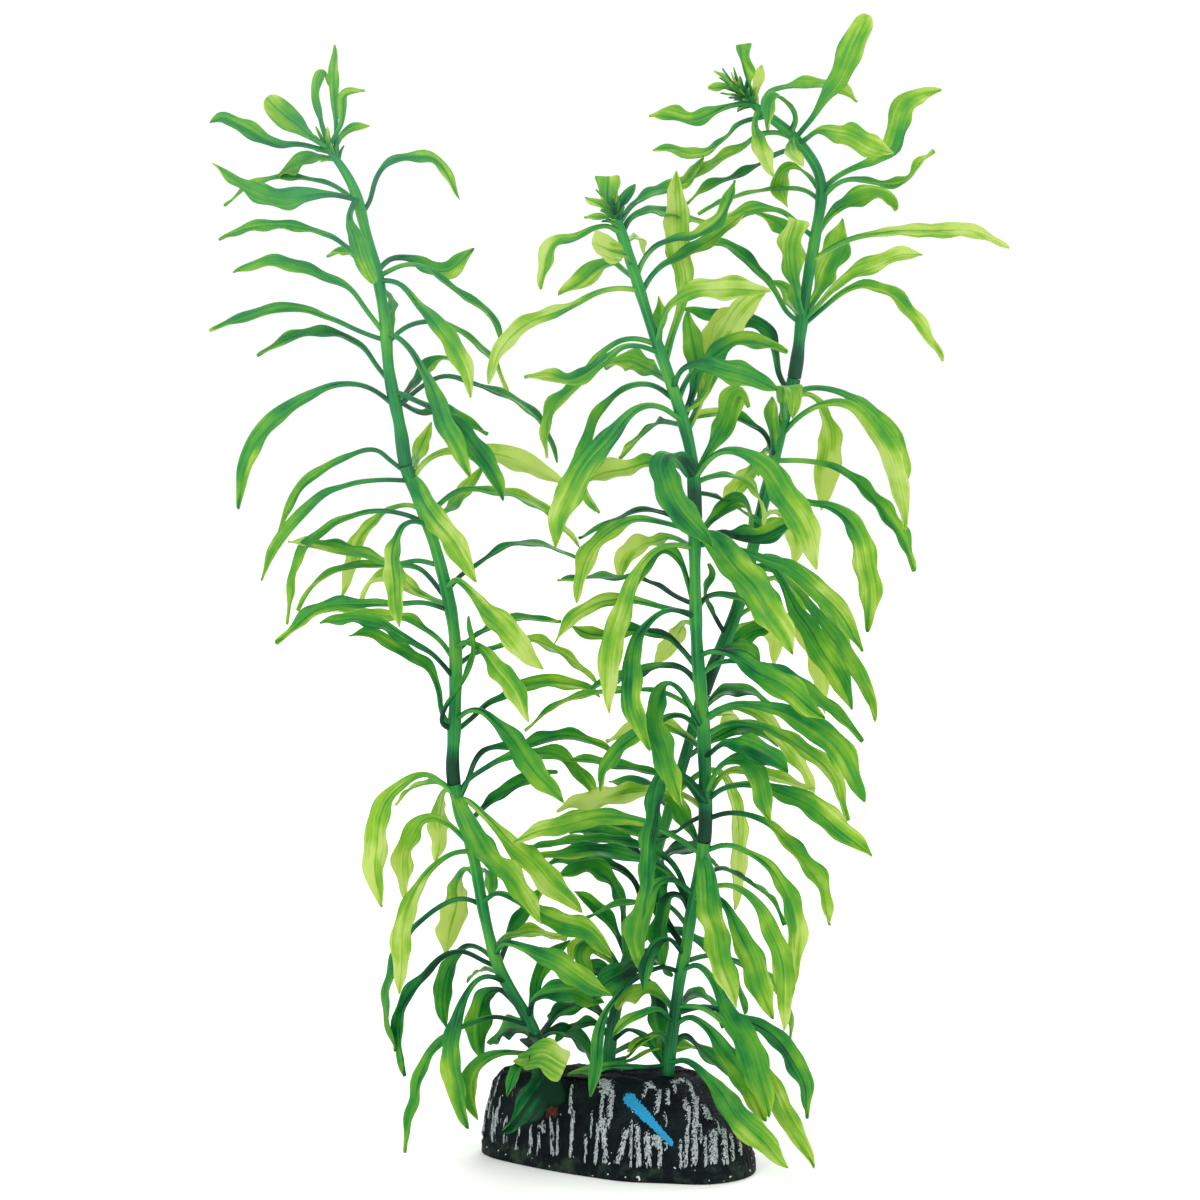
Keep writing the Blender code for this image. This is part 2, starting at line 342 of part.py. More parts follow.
        (203.5, [(42.6, 206.3), (38.6, 203), (34.8, 197.8), (30.4, 192.3)], -22, 8, 48),
        (175, [(44.8, 174.8), (49, 168.5), (52.3, 161.3), (57, 154.6), (61.5, 148), (65, 141), (68.6, 133.3)],
         20, 9.5, 62),
        (173.5, [(44.5, 174.4), (51.5, 169), (57.8, 161.3), (63.5, 153.5), (68.3, 146.7), (72, 139.4),
                 (75.4, 130)], 0, 9, 42),
        (177, [(45.5, 178), (53, 172.5), (59, 165.3), (63.8, 158.3), (66.4, 151.5), (64.5, 144)],
         -13, 8.5, 50),
        (160, [(40, 163.4), (47, 161.6), (53, 156.6), (57.3, 149.4), (59.3, 141), (60.1, 132)], -20, 8, 50),
        (153, [(36, 158), (41.5, 158.2), (45.6, 154), (45.8, 146.3)], -27, 7.5, 45),
        (166, [(41.5, 170.8), (48, 171.6), (53, 167.3), (54.2, 159.8)], -30, 7.5, 50),
        (187, [(45, 191), (49.8, 188.6), (51.8, 182.5), (51.4, 175.3)], -26, 8.5, 50),
    ],
    "back_lower": [
        (131, [(28.5, 137.2), (34, 139.5), (39.5, 138.8), (44.6, 135)], -22, 7.5, 40),
        (119, [(28.5, 125.3), (34, 128), (40.5, 127.7), (47, 123)], -16, 8, 40),
        (127, [(31.5, 134), (38, 133.5), (44, 129.4), (49, 123.8), (53.5, 117.3), (57.6, 109)], -8, 9, 58),
        (109, [(25.5, 115.8), (31, 114.6), (34.2, 108), (35.4, 99), (35.4, 89), (34.3, 75.3)], -12, 9, 62),
        (60, [(2, 68.5), (1.4, 77), (-1.6, 84), (-7, 87.6), (-12.5, 87.2), (-17.4, 85)], 8, 8.5, 50),
        (61, [(0.2, 68), (-3.4, 74), (-8, 78.4), (-12.6, 80.8)], -14, 6, 30),
        (57, [(-3, 64.6), (-7.8, 65.3), (-9.6, 61.6), (-6.8, 57)], 12, 7.5, 45),
        (62, [(10, 68.5), (19, 69), (28, 63), (34.3, 55.5), (37.5, 45)], -20, 8.5, 45),
        (33.5, [(5.5, 36.8), (14, 37), (24, 35)], -16, 7, 40),
        (38, [(-6, 42.5), (-13, 41.6), (-18.5, 37)], -12, 7, 40),
        (56, [(5.2, 61), (11.5, 61.3), (16, 56)], -14, 8, 45),
        (78, [(4.5, 84.5), (-2, 88.6), (-9, 90.6), (-15.5, 90.2), (-21.5, 88)], -16, 8, 40),
    ],
    "back_top": [
        (245.5, [(49.3, 248.8), (46, 254.5), (41.7, 260.2), (36.7, 265.2), (31, 268.7), (24.3, 268.6)],
         -10, 7.5, 24),
        (247, [(52, 254), (50.6, 261.5), (50.4, 269), (51.8, 276)], 14, 9, 20),
        (245.8, [(58, 250.4), (63, 255.6), (68.6, 260.2), (75, 263.2), (82, 265.4), (88.9, 265.6)], 9, 8.5, 55),
        (244.5, [(59.5, 249.7), (66, 254.8), (73, 257), (80, 254.2), (86, 247.5), (91.4, 240.5),
                 (94.4, 234.3)], -6, 7.5, 30),
        (247.5, [(57.6, 253.5), (60.8, 261), (63.6, 269), (65.9, 276)], -20, 9, 45),
        (262.5, [(53, 267), (49.8, 271.4), (45.8, 275), (40.3, 277.3)], -22, 7, 30),
        (270, [(53, 274), (48.5, 277.6), (42, 279), (36, 277.8), (31, 274.4), (26.3, 270), (21.4, 265.8)],
         5, 8.5, 40),
        (269.5, [(60.3, 274.8), (64.7, 279.4), (70, 282.2), (75.5, 283), (79, 281.5), (81.1, 278.2)],
         -14, 9, 50),
        (263.5, [(61, 266.6), (67, 270), (75, 272.2), (84, 273.2), (93, 273.4), (102, 273), (108, 271),
                 (113.9, 267.4)], 6, 9.5, 38),
        (282.5, [(56.5, 287.4), (53, 290.7), (49.2, 290.4), (47.3, 286.4), (49.3, 279)], -16, 8, 45),
        (280.5, [(54.5, 284.2), (48, 284.8), (41, 284.2), (34, 282.4), (28.5, 280.2), (23.3, 277.2)],
         -26, 7, 14),
        (284, [(63.5, 287.8), (68.8, 290.6), (74.5, 292.6), (79, 295.8), (80.8, 301.5), (83, 307.5),
               (87.8, 312), (94.2, 313.4)], -6, 9.5, 62),
        (281.5, [(64, 286.2), (69, 287.4), (75, 286.4), (81, 285.8), (85, 288), (87.4, 292.4), (92.2, 295.6)],
         12, 7.5, 24),
        (294, [(50.5, 296), (45, 293.9), (39, 290.6), (33, 287.8), (27, 285.6), (22.6, 282.8), (19.3, 279.3)],
         -9, 7.5, 32),
        (297.5, [(58.5, 301.8), (64, 301.2), (69.5, 299.5), (75, 297.3), (80.4, 294.7)], 24, 10, 60),
        (299, [(56.6, 305), (60, 310.2), (63.5, 315.8), (67, 322.2), (70, 329), (72.4, 335.3)], 5, 9.5, 50),
        (306.5, [(43.5, 312.2), (48.3, 314), (54, 314.9), (60, 315.4), (65, 313.8), (69.7, 309.5)], -2, 8, 42),
        (300.5, [(51.8, 305), (49.6, 309.6), (46.3, 311.6), (43.8, 308.6), (43.7, 301.3)], 14, 6.5, 30),
        (298, [(47.3, 300.8), (41.5, 300.3), (36.5, 297.2), (31, 293.8), (25, 290.6), (19, 286.9),
               (13.8, 284.4)], -4, 8.5, 36),
        (305.5, [(36, 303.8), (31.5, 299.6), (26.8, 295.9), (21.5, 294.4), (16, 296.3), (10.2, 296)], -13, 8, 38),
        (309.5, [(33, 308.6), (27, 306.5), (20.5, 305), (14.5, 306), (9.2, 305.8)], 10, 8.5, 48),
        (307.5, [(40, 303.6), (41, 298.8), (42.6, 294), (45.9, 288)], 20, 7, 10),
        (309, [(38.4, 315), (37.4, 320.5), (36.3, 326.6)], 3, 7, 10),
    ],
}

BLUNT_TIPS = {("front_top", 277), ("front_top", 262.5), ("back_top", 309)}


def seen(right, up, near):
    """The point at this depth that the front eye sees at this place of its picture."""
    sight = (AIM - EYE).normalized()
    picture_up = Vector((0.0, -sight.z, sight.y))
    place = AIM + Vector((right - AIM.x, 0.0, 0.0)) + picture_up * (up - AIM.z)
    return EYE + (place - EYE) * ((-near - EYE.y) / (place.y - EYE.y))


def smooth_point(points, place):
    """A point on the smooth curve through the points, place running from 0 to len(points) - 1."""
    last = len(points) - 1
    index = min(int(place), last - 1)
    part = place - index
    start, end = points[index], points[index + 1]
    before = points[index - 1] if index > 0 else start * 2 - end
    after = points[index + 2] if index + 2 <= last else end * 2 - start
    return 0.5 * (
        start * 2
        + (end - before) * part
        + (before * 2 - start * 5 + end * 4 - after) * part ** 2
        + (start * 3 - before - end * 3 + after) * part ** 3
    )


def even_points(points, fractions, fineness=12):
    """Points at the given fractions of the length of the smooth curve through the points."""
    steps = (len(points) - 1) * fineness
    fine = [smooth_point(points, step / fineness) for step in range(steps + 1)]
    run = [0.0]
    for start, end in zip(fine, fine[1:]):
        run.append(run[-1] + (end - start).length)
    found = []
    index = 0
    for fraction in fractions:
        goal = fraction * run[-1]
        while index < steps - 1 and run[index + 1] < goal:
            index += 1
        part = (goal - run[index]) / (run[index + 1] - run[index])
        found.append(fine[index].lerp(fine[index + 1], part))
    return found


def stem_place(stem, height):
    """The (right, up, near) of a stem's middle line at a height."""
    line = [Vector(point) for point in STEMS[stem]]
    for index in range(len(line) - 1):
        if height <= line[index + 1].y:
            part = (height - line[index].y) / (line[index + 1].y - line[index].y)
            return smooth_point(line, index + part)
    return line[-1]


def leaf_path(stem, leaf):
    """The smooth run of a leaf from inside its stem to its tip, as a list of points in millimetres."""
    height, rest, reach, _, _ = leaf
    root = stem_place(stem, height)
    flat = [Vector((root.x, root.y, 0.0))] + [Vector((right, up, 0.0)) for right, up in rest]
    run = [0.0]
    for start, end in zip(flat, flat[1:]):
        run.append(run[-1] + (end - start).length)
    points = []
    for place, along in zip(flat, run):
        near = root.z + reach * math.sin(math.pi / 2 * along / run[-1])
        points.append(seen(place.x, place.y, near))
    return points


def leaf_frames(points, places, roll):
    """The run's point, sideways direction and upward direction at each place, carried on without twisting."""
    steps = [step / FRAME_STEPS for step in range(FRAME_STEPS + 1)]
    fine = even_points(points, steps)
    out = points[-1] - points[0]
    out.z = 0.0
    if out.length < 4.0:
        out = Vector((0.0, -1.0, 0.0))
    side = out.normalized().cross(Vector((0.0, 0.0, 1.0)))
    sides = []
    headings = []
    for index in range(FRAME_STEPS + 1):
        heading = (fine[min(index + 1, FRAME_STEPS)] - fine[max(index - 1, 0)]).normalized()
        side = (side - heading * side.dot(heading)).normalized()
        sides.append(side)
        headings.append(heading)
    towards_front = -1.0 if sides[FRAME_STEPS // 2].y > 0.0 else 1.0
    frames = []
    for place in places:
        index = round(place * FRAME_STEPS)
        side, heading = sides[index], headings[index]
        turn = math.radians(roll) * min(1.0, place / 0.3)
        top = side.cross(heading) * math.cos(turn) + side * towards_front * math.sin(turn)
        frames.append((fine[index], heading.cross(top).normalized(), top))
    return frames


def new_material(name, colour, roughness):
    material = bpy.data.materials.new(name)
    material.use_nodes = True
    shader = material.node_tree.nodes["Principled BSDF"]
    shader.inputs["Base Color"].default_value = (*colour, 1.0)
    shader.inputs["Roughness"].default_value = roughness
    shader.inputs["Metallic"].default_value = 0.0
    return material


def new_collection(name):
    collection = bpy.data.collections.new(name)
    bpy.context.scene.collection.children.link(collection)
    return collection


def add_object(name, mesh, collection, material=None):
    thing = bpy.data.objects.new(name, mesh)
    collection.objects.link(thing)
    if material:
        mesh.materials.append(material)
    return thing


def hide_guide(thing):
    thing.hide_render = True
    thing.display_type = "WIRE"


def add_boolean(thing, operation, cutter=None, collection=None):
    modifier = thing.modifiers.new(operation.title(), "BOOLEAN")
    modifier.operation = operation
    modifier.solver = "EXACT"
    modifier.use_self = operation == "UNION"
    if collection:
        modifier.operand_type = "COLLECTION"
        modifier.collection = collection
    else:
        modifier.object = cutter
    return modifier


def leaf_mesh(name, spray, leaf):
    """A closed leaf lofted through three-cornered sections: two margins and a keel below."""
    stem = spray.split("_")[0]
    points = leaf_path(stem, leaf)
    _, _, _, width, roll = leaf
    blunt = (spray, leaf[0]) in BLUNT_TIPS
    length = sum((end - start).length for start, end in zip(points, points[1:]))
    sections = LONG_LEAF if length > 34.0 else MIDDLE_LEAF if length > 14.0 else SHORT_LEAF
    frames = leaf_frames(points, [place for place, _ in sections], roll)
    shape = bmesh.new()
    rings = []
    for (place, fullness), (middle, side, top) in zip(sections, frames):
        if blunt and place > 0.5:
            fullness = 1.0
        half = STALK_HALF_WIDTH + fullness * max(width / 2 - STALK_HALF_WIDTH, 0.0)
        lift = 0.45 * (1.0 - fullness)
        keel = KEEL_DEPTH * (1.0 - 0.4 * fullness)
        corners = (middle + side * half + top * lift, middle - side * half + top * lift, middle - top * keel)
        rings.append([shape.verts.new(corner * MM) for corner in corners])
    for first, second in zip(rings, rings[1:]):
        for corner in range(3):
            following = (corner + 1) % 3
            shape.faces.new((first[corner], first[following], second[following], second[corner]))
    shape.faces.new(rings[0])
    if blunt:
        shape.faces.new(list(reversed(rings[-1])))
    else:
        tip = shape.verts.new(points[-1] * MM)
        for corner in range(3):
            shape.faces.new((rings[-1][corner], rings[-1][(corner + 1) % 3], tip))
    bmesh.ops.recalc_face_normals(shape, faces=shape.faces)
    bmesh.ops.triangulate(shape, faces=shape.faces)
    mesh = bpy.data.meshes.new(name)
    shape.to_mesh(mesh)
    shape.free()
    return mesh


def curve_to_mesh(name, line, radii, bevel_resolution=1):
    """A closed tube along a line of points with a radius at each, made from a bevelled curve."""
    curve = bpy.data.curves.new(name, "CURVE")
    curve.dimensions = "3D"
    curve.bevel_depth = 1.0 * MM
    curve.bevel_resolution = bevel_resolution
    curve.use_fill_caps = True
    spline = curve.splines.new("POLY")
    spline.points.add(len(line) - 1)
    for point, place, radius in zip(spline.points, line, radii):
        point.co = (*(place * MM), 1.0)
        point.radius = radius
    holder = bpy.data.objects.new(name, curve)
    bpy.context.scene.collection.objects.link(holder)
    graph = bpy.context.evaluated_depsgraph_get()
    mesh = bpy.data.meshes.new_from_object(holder.evaluated_get(graph))
    bpy.data.objects.remove(holder)
    bpy.data.curves.remove(curve)
    shape = bmesh.new()
    shape.from_mesh(mesh)
    bmesh.ops.remove_doubles(shape, verts=shape.verts, dist=0.01 * MM)
    bmesh.ops.recalc_face_normals(shape, faces=shape.faces)
    bmesh.ops.triangulate(shape, faces=shape.faces)
    shape.to_mesh(mesh)
    shape.free()
    return mesh


def stem_line(stem, low, high):
    """Even points on a stem's middle line between two heights, in millimetres in space."""
    line = [Vector(point) for point in STEMS[stem]]
    low = line[0].y if low is None else low
    high = line[-1].y if high is None else high
    count = max(3, round((high - low) / STEM_STEP))
    heights = [low + (high - low) * step / count for step in range(count + 1)]
    return [seen(*stem_place(stem, height)) for height in heights]


def joint_place(stem, height):
    """The middle and the direction of a joint between two sprays of a stem."""
    before, middle, after = (seen(*stem_place(stem, height + step)) for step in (-1.5, 0.0, 1.5))
    return middle, (after - before).normalized()


def spray_tube(name, stem, low, high):
    """The bare stem of one spray: a foot or a sleeve at its lower end, a shoulder or a tuft at its upper."""
    line = stem_line(stem, low, high)
    radii = [STEM_RADIUS] * len(line)
    if low is None:
        run = (line[1] - line[0]).normalized()
        line.insert(0, line[0] - run * STEM_FOOT_LENGTH)
        radii = [STEM_FOOT_RADIUS] * 2 + radii[1:]
    else:
        middle, run = joint_place(stem, low)
        line[0:1] = [middle + run * JOINT_GAP / 2, middle + run * SLEEVE_LENGTH]
        radii.insert(0, SLEEVE_RADIUS)
    if high is None:
        radii[-2:] = [(TUFT_RADIUS + STEM_RADIUS) / 2, TUFT_RADIUS]
    else:
        middle, run = joint_place(stem, high)
        line[-1:] = [middle - run * SHOULDER_LENGTH, middle - run * JOINT_GAP / 2]
        radii.append(SHOULDER_RADIUS)
    return curve_to_mesh(name, line, radii)


def rod(name, start, direction, length, radius, material, collection, bevel_resolution=1):
    """A short straight rod, for a peg, a bore or a socket."""
    mesh = curve_to_mesh(name, [start, start + direction * length], [radius] * 2, bevel_resolution)
    thing = add_object(name, mesh, collection, material)
    hide_guide(thing)
    return thing


def add_socket(stem, cutters):
    """The hole in the foot that a stem's foot stands in, a little wider and deeper than it."""
    line = stem_line(stem, None, SPRAYS[stem]["lower"][1])
    run = (line[1] - line[0]).normalized()
    bottom = line[0] - run * (STEM_FOOT_LENGTH + SOCKET_GAP)
    return rod(f"{stem} socket", bottom, run, STEM_FOOT_LENGTH + 3.0, STEM_FOOT_RADIUS + SOCKET_GAP, None,
               cutters, 3)


def make_spray(stem, part, bounds, parts, cutters, material):
    """One moulded spray: its stem with all its leaves joined on."""
    name = f"{stem}_{part}_spray"
    key = f"{stem}_{part}"
    low, high = bounds
    spray = add_object(name, spray_tube(name, stem, low, high), parts, material)
    joined = new_collection(f"{key} leaves")
    for index, leaf in enumerate(LEAVES[key]):
        mesh = leaf_mesh(f"{key} leaf {index + 1}", key, leaf)
        hide_guide(add_object(f"{key} leaf {index + 1}", mesh, joined, material))
    if high is not None:
        middle, run = joint_place(stem, high)
        rod(f"{key} peg", middle - run, run, PEG_LENGTH + 1.0, PEG_RADIUS, material, joined)
    add_boolean(spray, "UNION", collection=joined)
    if low is not None:
        middle, run = joint_place(stem, low)
        bore = rod(f"{key} bore", middle - run, run, BORE_DEPTH + 1.0, BORE_RADIUS, None, cutters)
        add_boolean(spray, "DIFFERENCE", cutter=bore)
    return spray


def outline_point(outline, part):
    """A point (x, y) of a closed round outline, part running from 0 to 1 round it."""
    count = len(outline)
    place = part * count
    index = int(place)
    near_by = [Vector(outline[(index + step) % count]) for step in (-1, 0, 1, 2)]
    right, near = smooth_point(near_by, 1.0 + place - index)
    return Vector((right, -near))


def foot_point(part, height):
    """A point of the foot's wall: plain at the rim, and ribbed and flared above it."""
    rim = outline_point(RIM_OUTLINE, part)
    top = outline_point(TOP_OUTLINE, part)
    rise = max(0.0, (height - FOOT_RIM) / (FOOT_HEIGHT - FOOT_RIM))
    place = rim.lerp(top, rise ** FOOT_FLARE)
    if rise > 0.0:
        turn = 2 * math.pi * part
        ribs = 0.6 * math.sin(19 * turn + 1.2) + 0.4 * math.sin(29 * turn + 0.4)
        place += place.normalized() * FOOT_RIB_DEPTH * ribs
    return place


def make_foot(parts, material):
    """The weighted stump-like foot: a cylinder ringed at each level and shaped to its outlines."""
    shape = bmesh.new()
    height = FOOT_HEIGHT * MM
    bmesh.ops.create_cone(
        shape, cap_ends=True, segments=FOOT_SIDES, radius1=40.0 * MM, radius2=40.0 * MM,
        depth=height, matrix=Matrix.Translation((0.0, 0.0, height / 2)),
    )
    for level in FOOT_LEVELS:
        everything = shape.verts[:] + shape.edges[:] + shape.faces[:]
        bmesh.ops.bisect_plane(shape, geom=everything, plane_co=(0.0, 0.0, level * MM), plane_no=(0.0, 0.0, 1.0))
    for vert in shape.verts:
        part = math.atan2(vert.co.y, vert.co.x) / (2 * math.pi) % 1.0
        place = foot_point((part + 0.5) % 1.0, vert.co.z / MM)
        vert.co = (place.x * MM, place.y * MM, vert.co.z)
    mesh = bpy.data.meshes.new("base")
    shape.to_mesh(mesh)
    shape.free()
    return add_object("base", mesh, parts, material)


def build():
    for thing in list(bpy.data.objects):
        bpy.data.objects.remove(thing)
    parts = new_collection("potted heteranthera")
    cutters = new_collection("cutters")
    leaf_plastic = new_material("soft leaf plastic", (0.11, 0.38, 0.07), 0.38)
    cast_stone = new_material("painted cast stone", (0.012, 0.016, 0.016), 0.75)
    foot = make_foot(parts, cast_stone)
    for stem, sprays in SPRAYS.items():
        socket = add_socket(stem, cutters)
        add_boolean(foot, "DIFFERENCE", cutter=socket)
        for part, bounds in sprays.items():
            make_spray(stem, part, bounds, parts, cutters, leaf_plastic)


build()
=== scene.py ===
"""The looks of a potted heteranthera: a soft moulded water plant of three leafy stems in a stump-like foot.

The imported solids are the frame. Each spray of leaves, and the foot, is modelled here in full and stands for
the solid of its form. Places read from the front view are (right, up) in millimetres, as an eye in front of
the plant sees them, and a third number is how much nearer to that eye the place is than the foot's middle.
"""

import math
import random

import bmesh
import bpy
import numpy as np
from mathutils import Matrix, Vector, noise


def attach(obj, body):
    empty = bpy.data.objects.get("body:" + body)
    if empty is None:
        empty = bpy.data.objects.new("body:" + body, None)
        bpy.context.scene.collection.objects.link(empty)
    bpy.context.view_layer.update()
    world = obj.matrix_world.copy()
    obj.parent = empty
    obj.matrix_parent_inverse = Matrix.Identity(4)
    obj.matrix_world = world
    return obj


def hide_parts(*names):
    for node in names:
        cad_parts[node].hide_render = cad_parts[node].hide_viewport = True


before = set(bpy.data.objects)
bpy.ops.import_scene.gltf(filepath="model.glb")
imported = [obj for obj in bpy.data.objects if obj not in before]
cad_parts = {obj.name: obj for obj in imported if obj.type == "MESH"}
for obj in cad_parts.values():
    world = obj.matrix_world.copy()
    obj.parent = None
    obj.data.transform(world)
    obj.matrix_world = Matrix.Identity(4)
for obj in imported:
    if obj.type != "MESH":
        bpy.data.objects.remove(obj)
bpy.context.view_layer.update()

MM = 0.001

# The eye of the front view, the point it looks at and the width of its picture there, in millimetres.
EYE = Vector((-4.9, -1200.0, 300.0))
AIM = Vector((-4.9, 0.0, 165.3))
PICTURE_WIDTH = 348.0
SENSOR_WIDTH = 36.0

# The kinds of leaf, each by its half-widths at even steps from root to tip, as shares of its widest place.
STALK_SHARES = (0.30, 0.26, 0.23, 0.21, 0.21, 0.24, 0.31, 0.42, 0.55, 0.68, 0.79, 0.87, 0.93, 0.97)
LEAF_KINDS = {
    "pointed": STALK_SHARES + (1.0, 0.98, 0.91, 0.78, 0.58, 0.33, 0.04),
    "round": STALK_SHARES + (1.0, 1.0, 1.0, 0.97, 0.89, 0.72, 0.34),
    "blunt": STALK_SHARES + (1.0, 1.0, 1.0, 1.0, 0.98, 0.95, 0.9),
    "wedge": (0.20, 0.20, 0.30, 0.50, 0.78, 0.95, 1.0, 1.0, 0.97, 0.92, 0.86, 0.80, 0.73, 0.65, 0.57, 0.50,
              0.42, 0.34, 0.26, 0.17, 0.06),
    "lance": (0.30, 0.26, 0.24, 0.24, 0.30, 0.42, 0.58, 0.74, 0.88, 0.97, 1.0, 0.99, 0.94, 0.86, 0.76, 0.65,
              0.53, 0.41, 0.29, 0.17, 0.05),
    "strap": (0.42, 0.55, 0.67, 0.76, 0.83, 0.88, 0.92, 0.95, 0.97, 0.99, 1.0, 1.0, 1.0, 1.0, 1.0, 0.98,
              0.91, 0.78, 0.58, 0.33, 0.04),
    "fan": (0.12, 0.10, 0.09, 0.09, 0.09, 0.10, 0.13, 0.19, 0.28, 0.38, 0.49, 0.59, 0.68, 0.76, 0.83, 0.89,
            0.93, 0.96, 0.98, 0.98, 0.95),
    "flap": (0.12, 0.10, 0.09, 0.09, 0.09, 0.09, 0.10, 0.13, 0.19, 0.29, 0.41, 0.54, 0.67, 0.81, 0.92, 0.96,
             0.96, 0.96, 0.97, 0.97, 0.95),
    "stalked": (0.30, 0.26, 0.24, 0.22, 0.21, 0.20, 0.20, 0.20, 0.24, 0.31, 0.41, 0.54, 0.68, 0.80, 0.90,
                0.97, 1.0, 0.94, 0.78, 0.48, 0.06),
}
TUFT_SHARES = (0.5, 0.8, 1.0, 0.9, 0.6, 0.15)

# A leaf before it is laid: columns of faces across it, how far its midrib is pressed down and its stalk's
# edges are lifted, in millimetres, and the share of its length that is stalk.
LEAF_COLUMNS = 4
TUFT_COLUMNS = 2
MIDRIB_DEPTH = 0.42
STALK_EDGE_LIFT = 0.55
STALK_END = 0.34

# How thick the moulding is, how much of the stalk's extra thickness the midrib keeps at its root, and
# between which shares of a leaf's length its stalk thins out.
STALK_THICKNESS = 1.15
BLADE_THICKNESS = 0.42
MIDRIB_SHARE = 0.35
THINNING = (0.2, 0.44)

# The widths in the leaf table take in a blade's waves, so blades are narrower by this share, and by a
# further one in three sprays.
WIDTH_SHARE = 0.82
NARROW_SPRAYS = {"left_top": 0.84, "left_middle": 0.92, "back_top": 0.92}

# How a blade bends, in millimetres: its margins rise by its cup, and they wave up and down by the ruffle
# and out and in by the swelling, once in each ruffle length. The whole blade sways sideways a little.
# All of it sets in between the two shares of the length, and narrow and round blades have less of it.
BLADE_START = (0.2, 0.5)
CUPS = (0.2, 1.7)
RUFFLES = (0.6, 1.6)
RUFFLE_LENGTHS = (8.5, 13.0)
SWELLING = 0.17
SWAY = 0.45
SWAY_LENGTH = 20.0
FULL_WIDTH = 9.0
ROUND_RUFFLE = 0.35

# A leaf's run is cut into this many steps. It takes up its roll over this share of them, and one that
# reaches out by less than the short reach, in millimetres, counts as leaning to the front.
FRAME_STEPS = 60
ROLL_SHARE = 0.3
SHORT_REACH = 4.0

# How light and yellow a leaf is, from the darkest green to the palest, and how much leaves differ. SHADED is
# painted shade: a near-black tone for a sheet that stands for the part of a leaf hanging in shade.
SHADED, DARK, DEEP, DIM, MID, LIGHT, LIME, PALE = -0.15, 0.17, 0.30, 0.36, 0.45, 0.59, 0.74, 0.88
TONE_SPREAD = 0.03

# Stems, in millimetres. A spray's stem tapers between two radii and swells a little at each leaf's root.
# An upper spray begins in a sleeve, and a lower one ends in a shoulder under the next one's sleeve.
STEM_SIDES = 12
STEM_STATION = 3.0
STEM_RADII = {"lower": (1.8, 1.6), "middle": (1.95, 1.65), "top": (1.8, 1.4)}
SLEEVE_RADIUS = 2.15
SLEEVE_LENGTH = 9.0
SHOULDER_RADIUS = 2.1
SHOULDER_LENGTH = 3.5
WHORL_SWELLING = 0.28
WHORL_REACH = 1.7
JOINT_GAP = 0.04
STEM_FOOT_LENGTH = 3.0

# A stem narrows over its last four stations, at the first of them to a share of its radius. An extra
# station at this share of a step from each end keeps the end's edge firm when the mesh is smoothed.
TIP_SHARE = 0.85
TIP_RADII = [1.12, 0.88, 0.8]
END_LOOP = 0.03

# How light each stem is, and its sleeves, which fade into it between two distances. A stem is darker low
# down, by the shade at its very foot and less up to the length. Its material takes it for a stalk, which
# lies at this share along a leaf, with one seed for all stems.
STEM_TONES = {"left": 0.51, "front": 0.47, "back": 0.44}
SLEEVE_TONES = {"left_top": 0.3}
SLEEVE_TONE = 0.1
SLEEVE_FADE = (7.0, 13.0)
FOOT_END_SHADE = 0.14
FOOT_END_LENGTH = 60.0
STEM_ALONG = 0.1
STEM_SEED = 7.0

# The tuft of small leaves at each stem's tip: how many, their longest, and how light they are. Each leaf
# is turned on from the one before, in radians, grows further down the stem, within the depth, and leans
# out further: the first by the first spread, and the last by nearly both together.
TUFTS = {"left": (10, 8.0, LIGHT), "front": (24, 8.0, DEEP), "back": (30, 9.0, MID)}
TUFT_TURN = 2.4
TUFT_DEPTH = 7.0
TUFT_WIDTHS = (1.0, 2.2)
TUFT_SPREADS = (0.15, 0.75)
TUFT_TONES = (-0.15, 0.3)

# The foot, in millimetres. Its outlines at the rim and at the top are closed rounds of (right, near), left
# end first, and its wall goes from the one to the other by a power of its height above the rim.
FOOT_HEIGHT = 26.0
FOOT_RIM = 4.0
FOOT_FLARE = 1.5
FOOT_SIDES = 640
FOOT_STEP = 0.42
FOOT_TOP_RINGS = 16
FOOT_MIDDLE = np.array((-6.0, 0.0))
RIM_OUTLINE = [
    (-40.0, -9.0), (-37.0, -1.0), (-29.0, 7.0), (-19.0, 15.0), (-9.0, 21.5), (2.0, 27.5),
    (13.0, 29.5), (25.0, 31.0), (34.0, 27.0), (39.5, 19.0), (40.5, 8.0), (38.0, -6.0),
    (31.0, -18.0), (17.0, -26.0), (1.0, -29.0), (-14.0, -29.0), (-28.0, -25.0), (-37.0, -18.0),
]
TOP_OUTLINE = [
    (-35.2, -4.0), (-33.5, 1.0), (-27.5, 5.0), (-19.0, 7.5), (-10.0, 9.0), (0.0, 10.0),
    (9.0, 10.5), (17.0, 10.0), (22.0, 8.0), (25.0, 4.0), (25.5, 0.0), (24.0, -4.0),
    (20.0, -7.5), (12.0, -9.5), (1.0, -10.5), (-12.0, -11.0), (-25.0, -10.5), (-34.0, -8.0),
]

